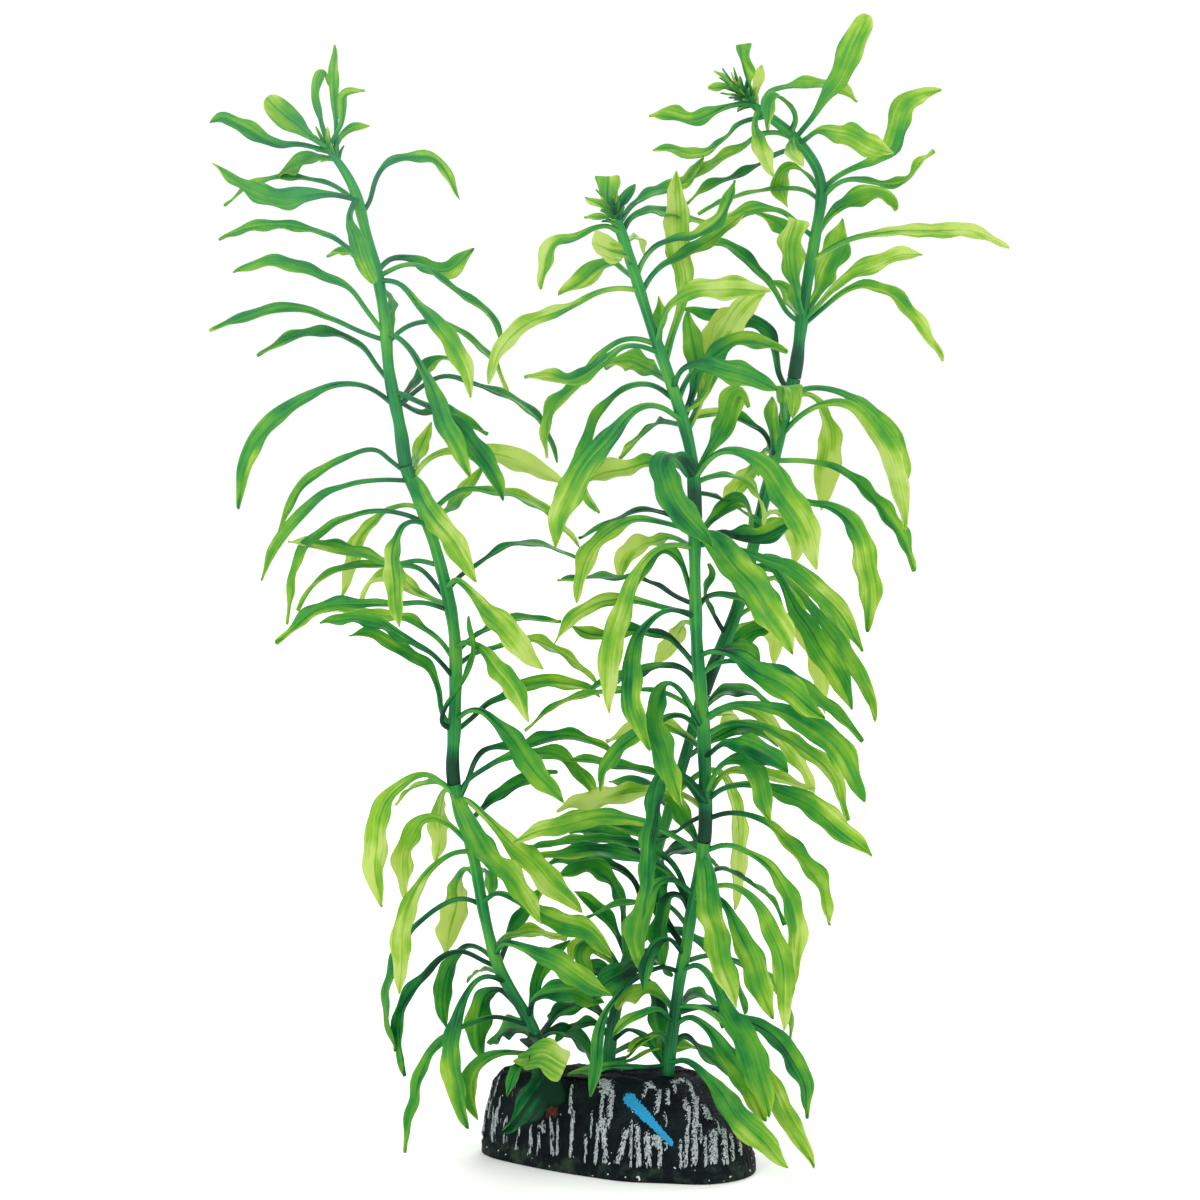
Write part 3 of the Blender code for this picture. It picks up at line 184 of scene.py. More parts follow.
# Ridges of the foot's front that the pale dry-brushed paint has caught: (right, width, lowest up,
# highest up, lean), the lean being how far the ridge's top stands to the right of its bottom.
FRONT_RIDGES = [
    (-39.2, 1.2, 7.5, 19, 0.8), (-37.4, 1.4, 7, 12, 0), (-36.6, 1.3, 8, 14, 0.4), (-34.8, 1.1, 11, 22, 2.2),
    (-35.4, 1.3, 6.5, 13, 0), (-33.0, 0.8, 12, 16, 0.4), (-33.6, 1.2, 6.5, 10.5, 0),
    (-32.2, 1.0, 22, 27.5, 1.2), (-30.4, 0.9, 21, 26, 1.0), (-29.0, 1.1, 5.5, 13.5, 1.5),
    (-25.4, 1.6, 4.5, 13, 0.3), (-23.1, 0.9, 4, 14, 0.3), (-21.7, 1.2, 10.5, 15, 0.2),
    (-19.2, 1.5, 4, 17, -0.4), (-17.4, 1.3, 4, 15, 0.2), (-13.6, 1.3, 16, 25.5, 0.8),
    (-13.2, 1.7, 3.5, 17.5, 0.8), (-9.2, 1.5, 2, 10, 0.3), (-7.5, 1.1, 8.5, 17.5, 0.3),
    (-5.8, 1.7, 1.5, 14, 1.0), (-3.0, 6.6, 22, 27, 0), (-4.4, 1.8, 13, 24, 1.2), (-1.8, 2.6, 12, 24, 1.6),
    (-3.5, 2.4, 1.5, 13.5, -0.4), (-4.2, 3.0, 10.5, 16, 1.5), (1.8, 2.6, 1.5, 12.5, 2.8),
    (4.3, 1.2, 0.5, 14.8, 0.3), (6.3, 2.2, 0.5, 13.5, -0.4), (9.2, 2.8, 0.5, 11.5, -0.6),
    (11.8, 5.0, 6.5, 10.5, 0), (12.8, 1.8, 0.5, 8, 0.3), (14.6, 1.2, 5.5, 9, 0.3),
    (10.4, 4.4, 23.2, 25.8, 0), (8.4, 1.5, 20.5, 24.5, 2.0), (12.3, 2.1, 16, 23.5, 1.2),
    (15.1, 1.5, 18.5, 24, 0), (14.4, 1.2, 12.5, 17, -0.6), (17.4, 1.4, 22, 26.5, 0.6),
    (19.6, 4.4, 25, 27.4, 0), (22.0, 1.6, 20.5, 26.5, -1.2), (20.2, 2.0, 17.5, 21, 0),
    (20.6, 1.8, 0.5, 19.5, 1.2), (23.0, 2.6, 1, 22, 0.6), (18.7, 1.4, 0.5, 9, 0.3),
    (26.4, 3.0, 14.5, 19, -2.0), (24.8, 1.2, 8, 14, -0.3), (28.4, 3.4, 1.5, 12, 0.2),
    (26.1, 1.3, 1, 10.5, 0.4), (31.7, 2.4, 1.5, 12.5, -0.6), (29.8, 1.3, 10, 14.5, -1.0),
    (33.9, 1.4, 2, 11, -0.6), (36.0, 1.2, 4, 8.8, -0.8),
]

# The front's ridges give way to the back's between two depths, and run further down than those.
FRONT_SIDE = (-4.0, 8.0)
FRONT_RIDGE_DROP = 2.5
BACK_RIDGE_SPACING = 2.2
BACK_RIDGE_WIDTHS = (1.1, 1.3, 1.5, 1.8, 2.4, 3.0)

# How the foot's wall is worked, in millimetres: ridges that stand up from a bed cut below its outline, an
# upright grain, finer round the foot than upwards, lumps all over, and a rim that stands out by a step.
RIDGE_HEIGHT = 1.0
RIDGE_BED = 0.35
GRAIN_HEIGHT = 0.3
GRAIN_TURNS = 40.0
GRAIN_RISE = 0.12
LUMP_HEIGHT = 0.35
LUMP_SCALE = (0.22, 0.22, 0.25)
RIM_STEP = 0.6

# The foot's top: how wide and deep its rounded edge is, how high its lumps and grain are, and how far it
# drops at its edge.
TOP_EDGE = 3.0
EDGE_ROUNDING = 1.2
TOP_LUMPS = 0.9
TOP_GRAIN = 0.25
TOP_DROP = 0.5

# The colours daubed on the foot's front: a blue stroke from one place to the other, with its width at
# each, and two brown spots, as (right, up, size).
BLUE_STROKE = ((4.3, 20.3), (16.3, 7.6))
BLUE_WIDTHS = (3.4, 1.5)
BROWN_SPOTS = [(-28.8, 22.0, 3.0), (-19.5, 17.0, 2.2)]

# Each stem's middle line from the foot to the tip, as (right, up, near).
STEMS = {
    "left": [
        (-21.6, 30.6, -4.0), (-22.8, 35.6, -4.6), (-24.6, 41.6, -5.4), (-28.6, 48.6, -6.4),
        (-33.6, 57.1, -8.0), (-36.3, 65.0, -8.0), (-38.9, 76.3, -7.0), (-41.8, 91.9, -7.0),
        (-47.3, 112.5, -6.0), (-47.2, 127.0, -6.0), (-46.8, 140.0, -6.0), (-46.9, 153.0, -5.0),
        (-49.0, 166.5, -5.0), (-54.0, 185.0, -5.0), (-60.8, 203.0, -5.0), (-62.8, 215.0, -5.0),
        (-66.0, 231.0, -5.0), (-67.2, 245.0, -5.0), (-69.5, 260.0, -5.0), (-72.8, 272.0, -5.0),
        (-76.0, 284.0, -5.0), (-80.5, 292.0, -4.0), (-85.0, 297.5, -4.0),
    ],
    "front": [
        (14.9, 28.8, 5.0), (15.5, 35.0, 5.6), (16.6, 43.0, 6.4), (18.3, 56.0, 8.0),
        (20.2, 65.3, 9.0), (21.6, 75.0, 10.0), (25.3, 94.8, 11.0), (25.6, 109.6, 11.0),
        (25.0, 130.0, 12.0), (23.2, 152.5, 12.0), (22.6, 176.0, 12.0), (22.6, 193.0, 13.0),
        (21.3, 208.8, 13.0), (16.5, 225.9, 13.0), (10.6, 242.7, 12.0), (4.8, 261.0, 12.0),
        (1.4, 271.5, 12.0), (-1.9, 280.5, 12.0),
    ],
    "back": [
        (-2.4, 30.8, -4.0), (-1.9, 37.0, -5.2), (-0.6, 45.0, -7.0), (2.7, 59.5, -10.0),
        (9.5, 85.0, -13.0), (17.5, 112.0, -14.0), (26.1, 141.0, -15.0), (35.0, 163.1, -15.0),
        (42.6, 193.9, -15.0), (47.2, 213.0, -14.0), (51.5, 230.2, -14.0), (53.2, 243.0, -14.0),
        (55.0, 256.0, -14.0), (57.6, 271.0, -14.0), (59.4, 284.0, -14.0), (57.0, 292.5, -14.0),
        (49.0, 301.9, -13.0), (40.5, 308.0, -13.0), (35.0, 313.5, -12.0),
    ],
}

# Where each spray of a stem begins and ends, as heights on the middle line.
SPRAYS = {
    "left": {"lower": (None, 111.8), "middle": (111.8, 204.0), "top": (204.0, None)},
    "front": {"lower": (None, 95.0), "middle": (95.0, 188.5), "top": (188.5, None)},
    "back": {"lower": (None, 138.0), "middle": (138.0, 229.5), "top": (229.5, None)},
}

# Each spray's leaves. A leaf is told by the height on the stem that it grows from, its further points to
# its tip as (right, up), how much nearer its tip is than its stem, its full width, its roll, which is how
# many degrees its upper face is turned towards the front, and how light it is. Last comes its kind, where
# it isn't pointed.
LEAVES = {
    "left_top": [
        (293, [(-81.5, 305), (-82.2, 317), (-82, 326.5)], 2, 5, 20, LIGHT),
        (295, [(-86.3, 306), (-87.2, 314), (-85.5, 319.5), (-83.3, 314.5)], -9, 5, 30, MID),
        (296, [(-79.8, 304), (-79.2, 312), (-73, 313.2)], 8, 4.5, -30, LIGHT),
        (295, [(-77.5, 302), (-71.5, 303)], -12, 4, 55, LIGHT),
        (296.5, [(-90, 300.5), (-96, 305.5), (-101.5, 311.2)], 8, 12.5, 72, LIGHT, "round"),
        (295, [(-91, 297.3), (-100, 298), (-108, 302.3), (-114, 305.5), (-118.3, 303.8)], -3, 8, 55, MID),
        (293, [(-88, 293.5), (-94, 291.5), (-98.8, 287.5)], -14, 9.5, 62, LIGHT),
        (281, [(-82, 282.8), (-90, 282.8), (-100, 281.8), (-108, 285.6), (-117.5, 292)], 6, 10.5, 62, MID,
         "lance"),
        (280, [(-82, 285.5), (-90, 287.6), (-100, 287.8), (-107, 285.5), (-114, 279.5)], -16, 7, 30, MID),
        (277, [(-71.6, 281), (-69.8, 287.5), (-66, 292.5), (-60, 294), (-52, 292.6), (-45.3, 281.5)], -10, 6,
         58, DIM),
        (282, [(-77.5, 276), (-75, 268), (-70.5, 257)], 26, 7.5, 10, MID, "round"),
        (262, [(-76, 266), (-83, 270.8), (-91, 273.3), (-101, 274), (-109, 272.8), (-115.5, 269.5)], 4, 6.8,
         42, MID),
        (261, [(-73.5, 264), (-78, 266.8), (-84.5, 265)], -32, 7, 30, MID),
        (260.5, [(-65.5, 264.2), (-60, 264.2), (-54, 261.5), (-48, 261.5), (-41.2, 267.3)], -16, 8.5, 76,
         MID),
        (259, [(-62, 262.5), (-56, 262), (-49.5, 257.5), (-42, 251.8), (-36.5, 248), (-33, 239.8)], -4, 7.5,
         25, MID),
        (258, [(-63, 257), (-57, 250.5), (-51, 244), (-46.5, 238), (-43.8, 231), (-42.4, 223.8)], 18, 8.5,
         52, LIGHT),
        (256, [(-65, 252), (-66.5, 247.5), (-64.5, 241)], -30, 6, 0, MID),
        (242, [(-72, 248.5), (-78, 256), (-87, 260.3), (-96, 263), (-104, 263.2), (-111.5, 260.2)], 8, 7.5,
         48, MID),
        (240.5, [(-74, 243), (-83, 247), (-91, 249.6), (-99, 249.8), (-108, 247.3), (-118.3, 243.3)], -2,
         6.5, 44, MID),
        (228, [(-69.5, 233), (-74, 239), (-81, 242.6), (-89, 243), (-97, 240.7), (-104.3, 235.8)], -9, 7, 42,
         DEEP),
        (242.5, [(-63.5, 241.5), (-58.5, 236), (-53, 225), (-48, 213), (-41.8, 200.2)], 22, 8.5, 55, MID),
        (239.5, [(-62, 244), (-56, 246), (-48, 244.8), (-41, 240), (-37, 236), (-34, 231.6), (-31.3, 224)],
         -11, 7.5, 30, MID),
        (221.5, [(-70, 226), (-76, 228), (-84, 227), (-93, 222.5), (-101, 216), (-106.5, 208),
         (-110, 191.5)], 4, 8.5, 58, MID),
        (222, [(-60.5, 226), (-56.5, 231.5), (-51.5, 235.5), (-46, 234.5)], -26, 6, 30, DEEP),
        (221, [(-57, 227), (-50, 230.4), (-42, 228.3), (-34, 225.5), (-27, 222), (-21.5, 216.5), (-17, 205)],
         -2, 7.5, 25, DEEP),
        (224, [(-61.5, 222), (-56.5, 219.5), (-50, 220.5), (-43, 217), (-37.3, 213.2)], -20, 7.5, 40, DEEP),
        (226, [(-62.5, 225), (-57, 222.5), (-50.5, 219.5), (-45, 214.5), (-40, 208.5), (-36, 202),
         (-32.8, 194)], 12, 9, 55, DEEP),
    ],
    "left_middle": [
        (201.5, [(-66, 206), (-70, 209), (-77, 207.5), (-85, 203), (-92, 198), (-98.4, 184)], -6, 5.6, 48,
         MID),
        (199.5, [(-67, 200.2), (-75, 199.4), (-84, 196.6), (-93, 189), (-99, 181), (-103.3, 170.8)], 7, 5.8,
         46, MID),
        (201, [(-58.5, 199.5), (-55, 192), (-49.5, 185.5), (-45.5, 178.5), (-40.3, 170.5)], 24, 9, 55, LIME,
         "strap"),
        (200, [(-58.5, 205), (-56.5, 211), (-53.5, 217)], -26, 6, 20, LIGHT),
        (199.5, [(-55.5, 205.5), (-49.5, 208.4), (-41, 208), (-31, 206.5), (-23.5, 203.8), (-15.9, 198.8)],
         -9, 10, 66, PALE),
        (187.5, [(-61, 190), (-68, 191.2), (-76, 190), (-84, 186.3), (-90.5, 181), (-94, 172), (-95.6, 158)],
         -8, 6.2, 48, MID),
        (191, [(-60.5, 193), (-66, 191.6), (-71, 188), (-75.5, 181), (-79.5, 166)], -26, 7, -20, LIME),
        (187, [(-59.3, 188.2), (-63, 185.5), (-65, 178), (-64.5, 169), (-62.9, 157.3)], 30, 8, 15, LIGHT),
        (189, [(-51.5, 193), (-46, 197), (-38, 197.3), (-30, 196), (-21, 191.8), (-10.5, 180.5)], -16, 8.5,
         38, LIGHT),
        (187.5, [(-52, 189.5), (-47.5, 193), (-43.5, 198), (-38.8, 204.5)], -30, 6, 30, LIGHT),
        (175.5, [(-58, 176.8), (-65, 175.6), (-73, 178.6), (-83, 181), (-95.5, 182.3)], -8, 8, 34, MID),
        (164.5, [(-54, 171.5), (-58, 174.8), (-66, 175.4), (-75, 175.4), (-83, 173.3), (-89, 169),
         (-92.7, 162)], -20, 7.5, 26, MID),
        (162.5, [(-56, 164.6), (-64, 164), (-73, 164.4), (-82, 163.8), (-90, 160.6), (-98.9, 152.3)], 2, 8,
         36, MID),
        (164, [(-56, 166.6), (-62, 170.6), (-67, 172.6), (-71.5, 171), (-74.3, 164.3)], -36, 8, 42, LIME),
        (147, [(-50.8, 153), (-55.5, 156.8), (-61, 160.2), (-68, 160.8), (-75, 162), (-83, 162.3)], -17, 7.5,
         34, LIGHT),
        (142, [(-50.3, 146.4), (-54, 150), (-60, 153.3), (-67, 157.5), (-74, 160), (-80, 160.2),
         (-86.3, 158.4)], 10, 8, 40, DEEP),
        (127, [(-50.8, 132.5), (-51.6, 138.5), (-53.4, 144.5), (-58, 148.4), (-64, 151.5), (-70, 155.8),
         (-77.8, 154.8)], -9, 7.5, 38, MID),
        (127.5, [(-50.8, 129.6), (-49.6, 134.5), (-45.6, 140.5), (-42.6, 146), (-41.6, 152.5),
         (-43.2, 160.8)], 13, 5, 35, DEEP),
        (168.5, [(-47, 171.4), (-43, 168.5), (-38, 163), (-33, 157.8), (-28, 152.2), (-21.3, 145)], 20, 10,
         60, LIME),
        (151, [(-44.8, 153), (-40, 151.8), (-36, 147.5), (-32, 142.5), (-28.5, 137), (-25.3, 129.8)], 27, 9,
         60, LIGHT),
        (168, [(-45.3, 172.5), (-40.5, 175.6), (-35, 179.6), (-28, 182), (-20, 181), (-10.8, 177)], -14, 7,
         18, DEEP),
        (150, [(-43.3, 153.3), (-39, 156.3), (-33, 159.3), (-26, 160.2), (-16, 159)], -24, 7, 20, MID),
        (146, [(-41, 150), (-34, 151.8), (-27, 154), (-21, 153), (-14.5, 148.8), (-5.5, 141.3)], -14, 7.5,
         38, LIGHT),
        (126.8, [(-42.3, 130.8), (-37.5, 135.2), (-32, 138), (-26, 140.7), (-18, 141.8), (-10, 140.3),
         (-4.6, 137)], -17, 8, 40, MID),
        (130, [(-43.5, 133), (-39.5, 133.2), (-35, 130), (-30.5, 125), (-26, 119), (-21.5, 113),
         (-15.4, 106.3)], 18, 9.5, 60, MID),
    ],
    "left_lower": [
        (107.5, [(-50.5, 112), (-55.3, 114.9), (-61, 113), (-66, 108.4), (-69, 102), (-70, 95), (-70, 86),
         (-68.5, 76)], 6, 9.5, 62, LIME),
        (109, [(-52, 112.5), (-57, 112), (-61, 110), (-64.4, 105.8)], -26, 7, 25, LIGHT),
        (109.5, [(-50, 110), (-51.6, 105), (-51.5, 98), (-52.6, 89.3)], -26, 8, 0, PALE),
        (108.8, [(-46, 106.5), (-43.2, 100), (-39, 93.5), (-33.5, 87.5), (-28, 81.5), (-22, 71.3)], 30, 9.5,
         20, LIGHT, "strap"),
        (107.5, [(-43, 107), (-38.5, 102.8), (-33, 97.5), (-27, 91.2), (-20, 84.5), (-10.2, 74.3)], 18, 9.5,
         60, LIGHT),
        (94, [(-46.5, 98.3), (-50, 101), (-54.3, 102.3), (-58.5, 99.8), (-61.3, 94), (-62, 87),
         (-61.6, 78.3)], 2, 8.5, 60, LIME),
        (92.5, [(-46.5, 92.2), (-50.5, 90.2), (-55, 86), (-59.5, 79), (-61.8, 71), (-63, 62), (-62.8, 50.8)],
         20, 7.5, 50, LIME),
        (85.5, [(-43.6, 87.6), (-46, 84.5), (-47, 77.5), (-48, 71), (-50.2, 62.2)], -26, 11, -15, LIME),
        (76.5, [(-43.3, 78.8), (-48.5, 78), (-54, 74.6), (-60, 69), (-64.8, 61), (-67, 51), (-66.5, 42),
         (-64.2, 34.3)], -2, 7, 30, DEEP),
        (84.5, [(-38.8, 87.6), (-36.9, 85), (-36.8, 79)], -24, 6, 20, MID),
        (58.5, [(-39.8, 61.2), (-44.5, 63.5), (-50, 62.3), (-54.5, 57.6), (-59, 52.8), (-62.5, 48),
         (-63.3, 41), (-63, 34), (-61.6, 27)], 0, 7, 38, DARK),
        (60.5, [(-39.6, 64.3), (-43.5, 65), (-47, 61.8), (-49.8, 56), (-50.8, 49.5), (-49.2, 41.3)], -16,
         7.5, -40, DEEP),
        (57, [(-38.5, 58.3), (-41.5, 57), (-43.7, 54.3)], -30, 4, 20, MID),
        (54, [(-36.5, 56.3), (-40.5, 55.2), (-44, 50), (-46.8, 43), (-48, 35), (-47.5, 27), (-46, 20),
         (-42.8, 11.8)], 22, 8.5, 35, MID),
        (41.5, [(-30.5, 43.5), (-36, 44.6), (-42, 42.6), (-48, 39.8), (-53.5, 34.8), (-57.2, 27.5),
         (-59, 20), (-60.6, 13), (-61.4, 4.8)], 8, 6.5, 28, MID),
        (44.5, [(-30.5, 49.3), (-34, 52.3), (-38, 51.3), (-40, 46), (-40, 39), (-39.6, 32)], -14, 10, -45,
         DEEP),
        (33.5, [(-29, 34), (-35.5, 33.6), (-40.5, 31.2), (-43, 25.5), (-42.5, 20), (-40.5, 14.3)], 15, 6, 50,
         MID),
        (38, [(-28, 41.5), (-32.5, 40.6), (-37, 36.5)], -22, 12, 50, DARK),
        (33.4, [(-29, 32.6), (-25, 32.8), (-21.5, 33.2), (-17, 31.4), (-14.6, 30.4)], 32, 12.5, 62, LIME,
         "flap"),
        # The wedge is painted shade: a near-black sheet for the part of a leaf that hangs in shade.
        (40.2, [(-22.5, 34), (-19.8, 29.5), (-22.8, 22.5), (-27.8, 16.5), (-33.1, 11.2)], 32, 25, 66, SHADED,
         "wedge"),
        (37.5, [(-19.5, 40), (-15, 40.5), (-10, 36.5), (-7, 31.5)], -14, 11, 50, DARK),
        (34.5, [(-26.5, 32.5), (-29.8, 27.5), (-32, 21.2)], 29, 5, 0, DARK),
        (77.5, [(-35, 80.4), (-30, 78.8), (-23, 75), (-15, 71.6), (-8, 68.6), (-1.3, 61.8)], 16, 8.5, 60,
         LIGHT),
        (62, [(-33, 65.8), (-27.5, 64.8), (-21, 62.2), (-14, 58), (-8, 54.2), (-1.5, 50.2)], 20, 9, 60, MID),
        (63, [(-33, 67), (-29, 68.2), (-24, 69), (-19, 68.2), (-14.5, 66.8)], -20, 7.5, 35, LIME),
        (59, [(-32.6, 64), (-30.5, 69.5), (-27.5, 74), (-24.5, 78.5), (-20.5, 82.5)], -24, 5.5, 35, DEEP),
        (40, [(-25, 46), (-23.8, 52.5), (-21.5, 58.5), (-17.5, 63.5), (-13.5, 67)], -20, 6, 25, DEEP),
        (44, [(-24, 49.5), (-18.5, 51.8), (-11.5, 51.4), (-3.5, 48.8)], 8, 9.5, 55, DEEP),
        (38, [(-20.5, 41.3), (-16.5, 46), (-11, 48.3), (-5, 47.3)], -18, 7, 30, DARK),
        (97, [(-42.5, 101), (-38.8, 104.8), (-34.3, 108.8), (-29, 112.2), (-23, 114.6), (-17, 115.2)], -20,
         7, 36, DEEP),
        (106.5, [(-43, 113.5), (-41, 119), (-37, 122.6), (-30.5, 122.3), (-25, 123.9), (-17, 126),
         (-8, 124.8), (-1, 121.3)], -11, 8, 30, DEEP),
        (107, [(-43.8, 112.6), (-38, 116.6), (-31.5, 120), (-24.5, 121), (-17, 120.4), (-11, 115.5),
         (-7.4, 110), (-4.7, 103.8)], -2, 8, 36, MID),
    ],
    "front_top": [
        (277, [(-2.6, 282), (-3, 288.3)], 3, 9, 0, LIGHT, "fan"),
        (275, [(-3.2, 279), (-9.3, 282.3)], -8, 4, 30, LIGHT),
        (276, [(1.6, 281), (5.3, 286)], -6, 4.5, 30, DEEP),
        (273, [(-3.5, 276.3), (-9.6, 276.4)], 6, 3.5, 30, LIGHT),
        (271, [(-2.5, 273.8), (-7.5, 272.8), (-12, 270.4), (-17, 269.8), (-20.8, 264.5), (-22.2, 255.3)], 8,
         7, 34, LIGHT),
        (262.5, [(1.5, 265.8), (-2.5, 267.4), (-7, 268.5)], 26, 10.5, 78, LIME, "fan"),
        (257.5, [(2.2, 260.8), (-1.5, 263.4), (-5.5, 261.8), (-10.5, 258.2), (-16.9, 253.6)], -22, 8, -30,
         LIGHT),
        (254.5, [(2, 255.7), (-4.5, 254.9), (-12, 251.2), (-20, 248), (-27.5, 244.8), (-33.5, 238.8),
         (-37.4, 227.8)], 4, 8.5, 38, LIME),
        (271.5, [(4, 276), (9, 278.3), (15, 277.6), (21, 276), (28, 274)], -22, 8.5, 38, MID),
        (274, [(4.2, 279.6), (9, 283), (15, 285.2), (20, 287), (25.5, 293.6)], -30, 6, 40, MID),
        (268.5, [(5.6, 271), (7.2, 269), (8.3, 264.8)], -26, 5, 40, PALE),
        (258, [(7.3, 263.2), (11, 267.8), (17, 270.2), (23.5, 271.2), (28.8, 275), (32, 280.5),
         (34.3, 287.2)], -9, 7, 34, MID),
        (253.5, [(10.2, 259.5), (15, 263.6), (21, 266.2), (26.5, 269.8), (32, 274.2), (37.5, 277.8)], -15,
         7.5, 36, MID),
        (239.5, [(12.8, 245), (15.2, 250.5), (19.5, 253.8), (25.5, 255.2), (32.5, 256), (38.5, 255.4),
         (44.6, 254.4)], 12, 9, 55, LIME),
        (238, [(12.3, 246), (12.2, 253.6)], -16, 5, 30, LIGHT),
        (234, [(16.2, 243), (18.6, 250), (19.3, 258), (17.8, 268), (17, 279), (17.5, 290)], -17, 9.5, 20,
         LIME),
        (217.5, [(22.2, 226), (22.6, 233), (22, 240), (20.3, 249.5)], -16, 8, 20, MID),
        (219.5, [(24.5, 223.5), (27.3, 229.5), (29.5, 238), (33.5, 246), (38, 251), (44, 255)], -26, 10, 62,
         LIME),
        (214, [(23.8, 222), (25, 231), (26.8, 239.5), (30.5, 246.5), (38.5, 249.5)], -28, 9.5, 55, LIME),
        (226.5, [(18.3, 231.5), (22.5, 233.6), (29, 232.9), (35, 231.2), (41, 228.4), (46.6, 226.3)], 18,
         9.5, 42, DEEP),
        (222.5, [(20.6, 229.5), (26.5, 235.5), (33, 239.8), (41, 240.4), (49.6, 237)], -9, 9, 38, MID),
        (237, [(6.5, 239), (1, 238.4), (-4, 234.4), (-9, 230.6), (-14.5, 229), (-20.5, 231), (-26.9, 229.6)],
         9, 7.5, 36, LIGHT),
        (239.3, [(6.5, 241), (1, 240.6), (-4.5, 236.6), (-9.5, 231), (-14.5, 225.8), (-19.3, 220.5),
         (-21, 213.5), (-20.4, 206.3)], -8, 8.5, 44, LIGHT),
        (228, [(10, 232), (5, 234.6), (0.5, 234.5), (-3.6, 232.3)], -30, 9, 50, LIGHT),
        (222.5, [(11, 227.5), (4.5, 227.6), (-1.5, 224), (-6, 218), (-9.3, 210.5), (-10.5, 202), (-9, 196),
         (-5.3, 190.2)], -7, 8, 40, MID),
        (217, [(13.5, 221), (8, 221.7), (3, 218.6), (-2.5, 212.5), (-8.5, 205), (-13.5, 197.5), (-16.8, 189),
         (-18, 180.3)], 17, 10, 62, LIGHT),
        (216, [(12.5, 217), (8, 214.3), (4, 210), (0.4, 206.3)], -26, 7, 25, MID),
        (202.5, [(15.5, 204.8), (9, 204.9), (2, 203.6), (-4.5, 202.2), (-10, 198.6)], -12, 9.5, 52, LIME),
        (200.5, [(19, 206), (15.6, 208), (13.2, 204.8), (14.6, 198.4), (18.4, 192), (22.4, 186.4),
         (28, 180.3)], 30, 10, 32, DEEP, "strap"),
        (199, [(27, 201), (32.5, 201.5), (38, 199.6), (41.8, 194), (42.8, 186.8)], -10, 8, 32, LIME),
        (196.5, [(27.5, 195.8), (33.5, 193.4), (40, 188.8), (46, 184)], -27, 6, 20, DEEP),
        (200, [(25.8, 205), (30, 208.3), (36, 208.3), (42, 204.8), (47.5, 198.2), (52, 190.6), (56, 182.3),
         (58, 174)], 14, 11, 62, LIGHT),
        (199.5, [(25.3, 206), (28.6, 211), (31.4, 217.3), (33.2, 222.8), (35.6, 225.6), (38.3, 221)], -14, 9,
         45, MID),
    ],
    "front_middle": [
        (181.5, [(26.5, 187.5), (31, 192.3), (35.8, 194), (38.8, 190.5), (38.6, 184.6)], -16, 8.5, 35, MID),
        (184.5, [(16.5, 187), (9.5, 188.5), (3.5, 188.4), (-2.5, 185.2), (-7.3, 180.3), (-10.3, 173),
         (-12, 164.3)], 8, 8, 42, LIGHT),
        (182, [(17.3, 188.8), (11, 191.3), (4, 190.8), (-3, 187.6), (-11.3, 183.2)], -16, 6.5, 18, DEEP),
        (179.5, [(17, 183.3), (11, 183), (5.5, 180.6), (1.7, 176.8), (0.3, 171)], -26, 9, -30, LIME),
        (179.8, [(16, 181.4), (11, 179.7), (6.5, 174.5), (3, 167), (0.2, 158.5), (-1.8, 149.5), (-2.8, 141),
         (-1.8, 132.3)], 20, 8.5, 55, LIME),
        (161, [(20.6, 170), (18.2, 177), (14, 180), (9.5, 177), (5.5, 170), (2.6, 162)], -6, 6.5, 40, MID),
        (163.5, [(16.5, 166.7), (11.5, 170), (5, 171.8), (-2, 172.2), (-9, 172), (-17.4, 171)], -12, 7, 14,
         DEEP),
        (161, [(15, 162.8), (8.5, 164.4), (1.5, 165.6), (-5, 165), (-10.5, 161.8), (-15, 157.6),
         (-18.4, 152.8)], -7, 8, 40, LIGHT),
        (160, [(16.5, 162.6), (11.5, 160.8), (7.2, 156), (4.8, 150), (4.2, 143), (4.6, 135.5), (6.3, 129),
         (9.6, 121.4)], 22, 8, 38, MID),
        (145, [(18.8, 151), (14.5, 154.8), (9, 156.3), (2.5, 156.4), (-4, 155), (-9, 156), (-14.2, 158.4)],
         -15, 8, 40, DEEP),
        (158, [(19.3, 158.8), (16.5, 154), (13.8, 149.8), (11, 145.8)], -28, 8, -10, PALE),
        (140, [(19.8, 145), (14.5, 146.3), (7.5, 144.9), (0, 142.8), (-6, 140.3), (-10.5, 137.8)], -20, 9,
         38, DEEP),
        (131.5, [(17, 137.2), (9, 139.4), (0, 139), (-8, 138.2), (-15, 136.3), (-21, 132.6), (-26.9, 127.3)],
         -13, 6.5, 20, MID),
        (127.5, [(21.9, 133), (18.7, 138.8), (14.8, 141.8), (12, 138.2), (11.6, 130.5), (13.2, 122),
         (16.2, 113.5), (19.5, 105.2)], 19, 10.5, 40, MID),
        (125.5, [(21, 130.6), (17, 132), (11, 129.6), (5, 125.4), (0, 121.6), (-3.6, 116.6), (-4.9, 109.6)],
         -6, 8, 48, MID),
        (122, [(18.5, 127), (11.5, 129.6), (4.5, 127.8), (-3.2, 124)], -24, 8.5, 45, LIME),
        (110, [(18.5, 113.6), (10.5, 115.3), (3, 117), (-4, 118.4), (-10, 119), (-15.7, 118.2)], -18, 7, 22,
         DEEP),
        (104.5, [(20, 108.4), (13, 110.3), (5.5, 109.6), (-3, 108), (-10.5, 107), (-17.7, 103.7)], -16, 10,
         52, PALE),
        (105.5, [(21.5, 111.5), (16.8, 115.6), (12.6, 114), (10.8, 107), (9.6, 98), (8.8, 88), (7.3, 72)],
         17, 10.5, 15, DEEP, "strap"),
        (149, [(27.5, 150.4), (33, 149.6), (39, 145.8), (46, 141.6), (53, 136.6), (60.5, 130.8)], 24, 10, 52,
         MID),
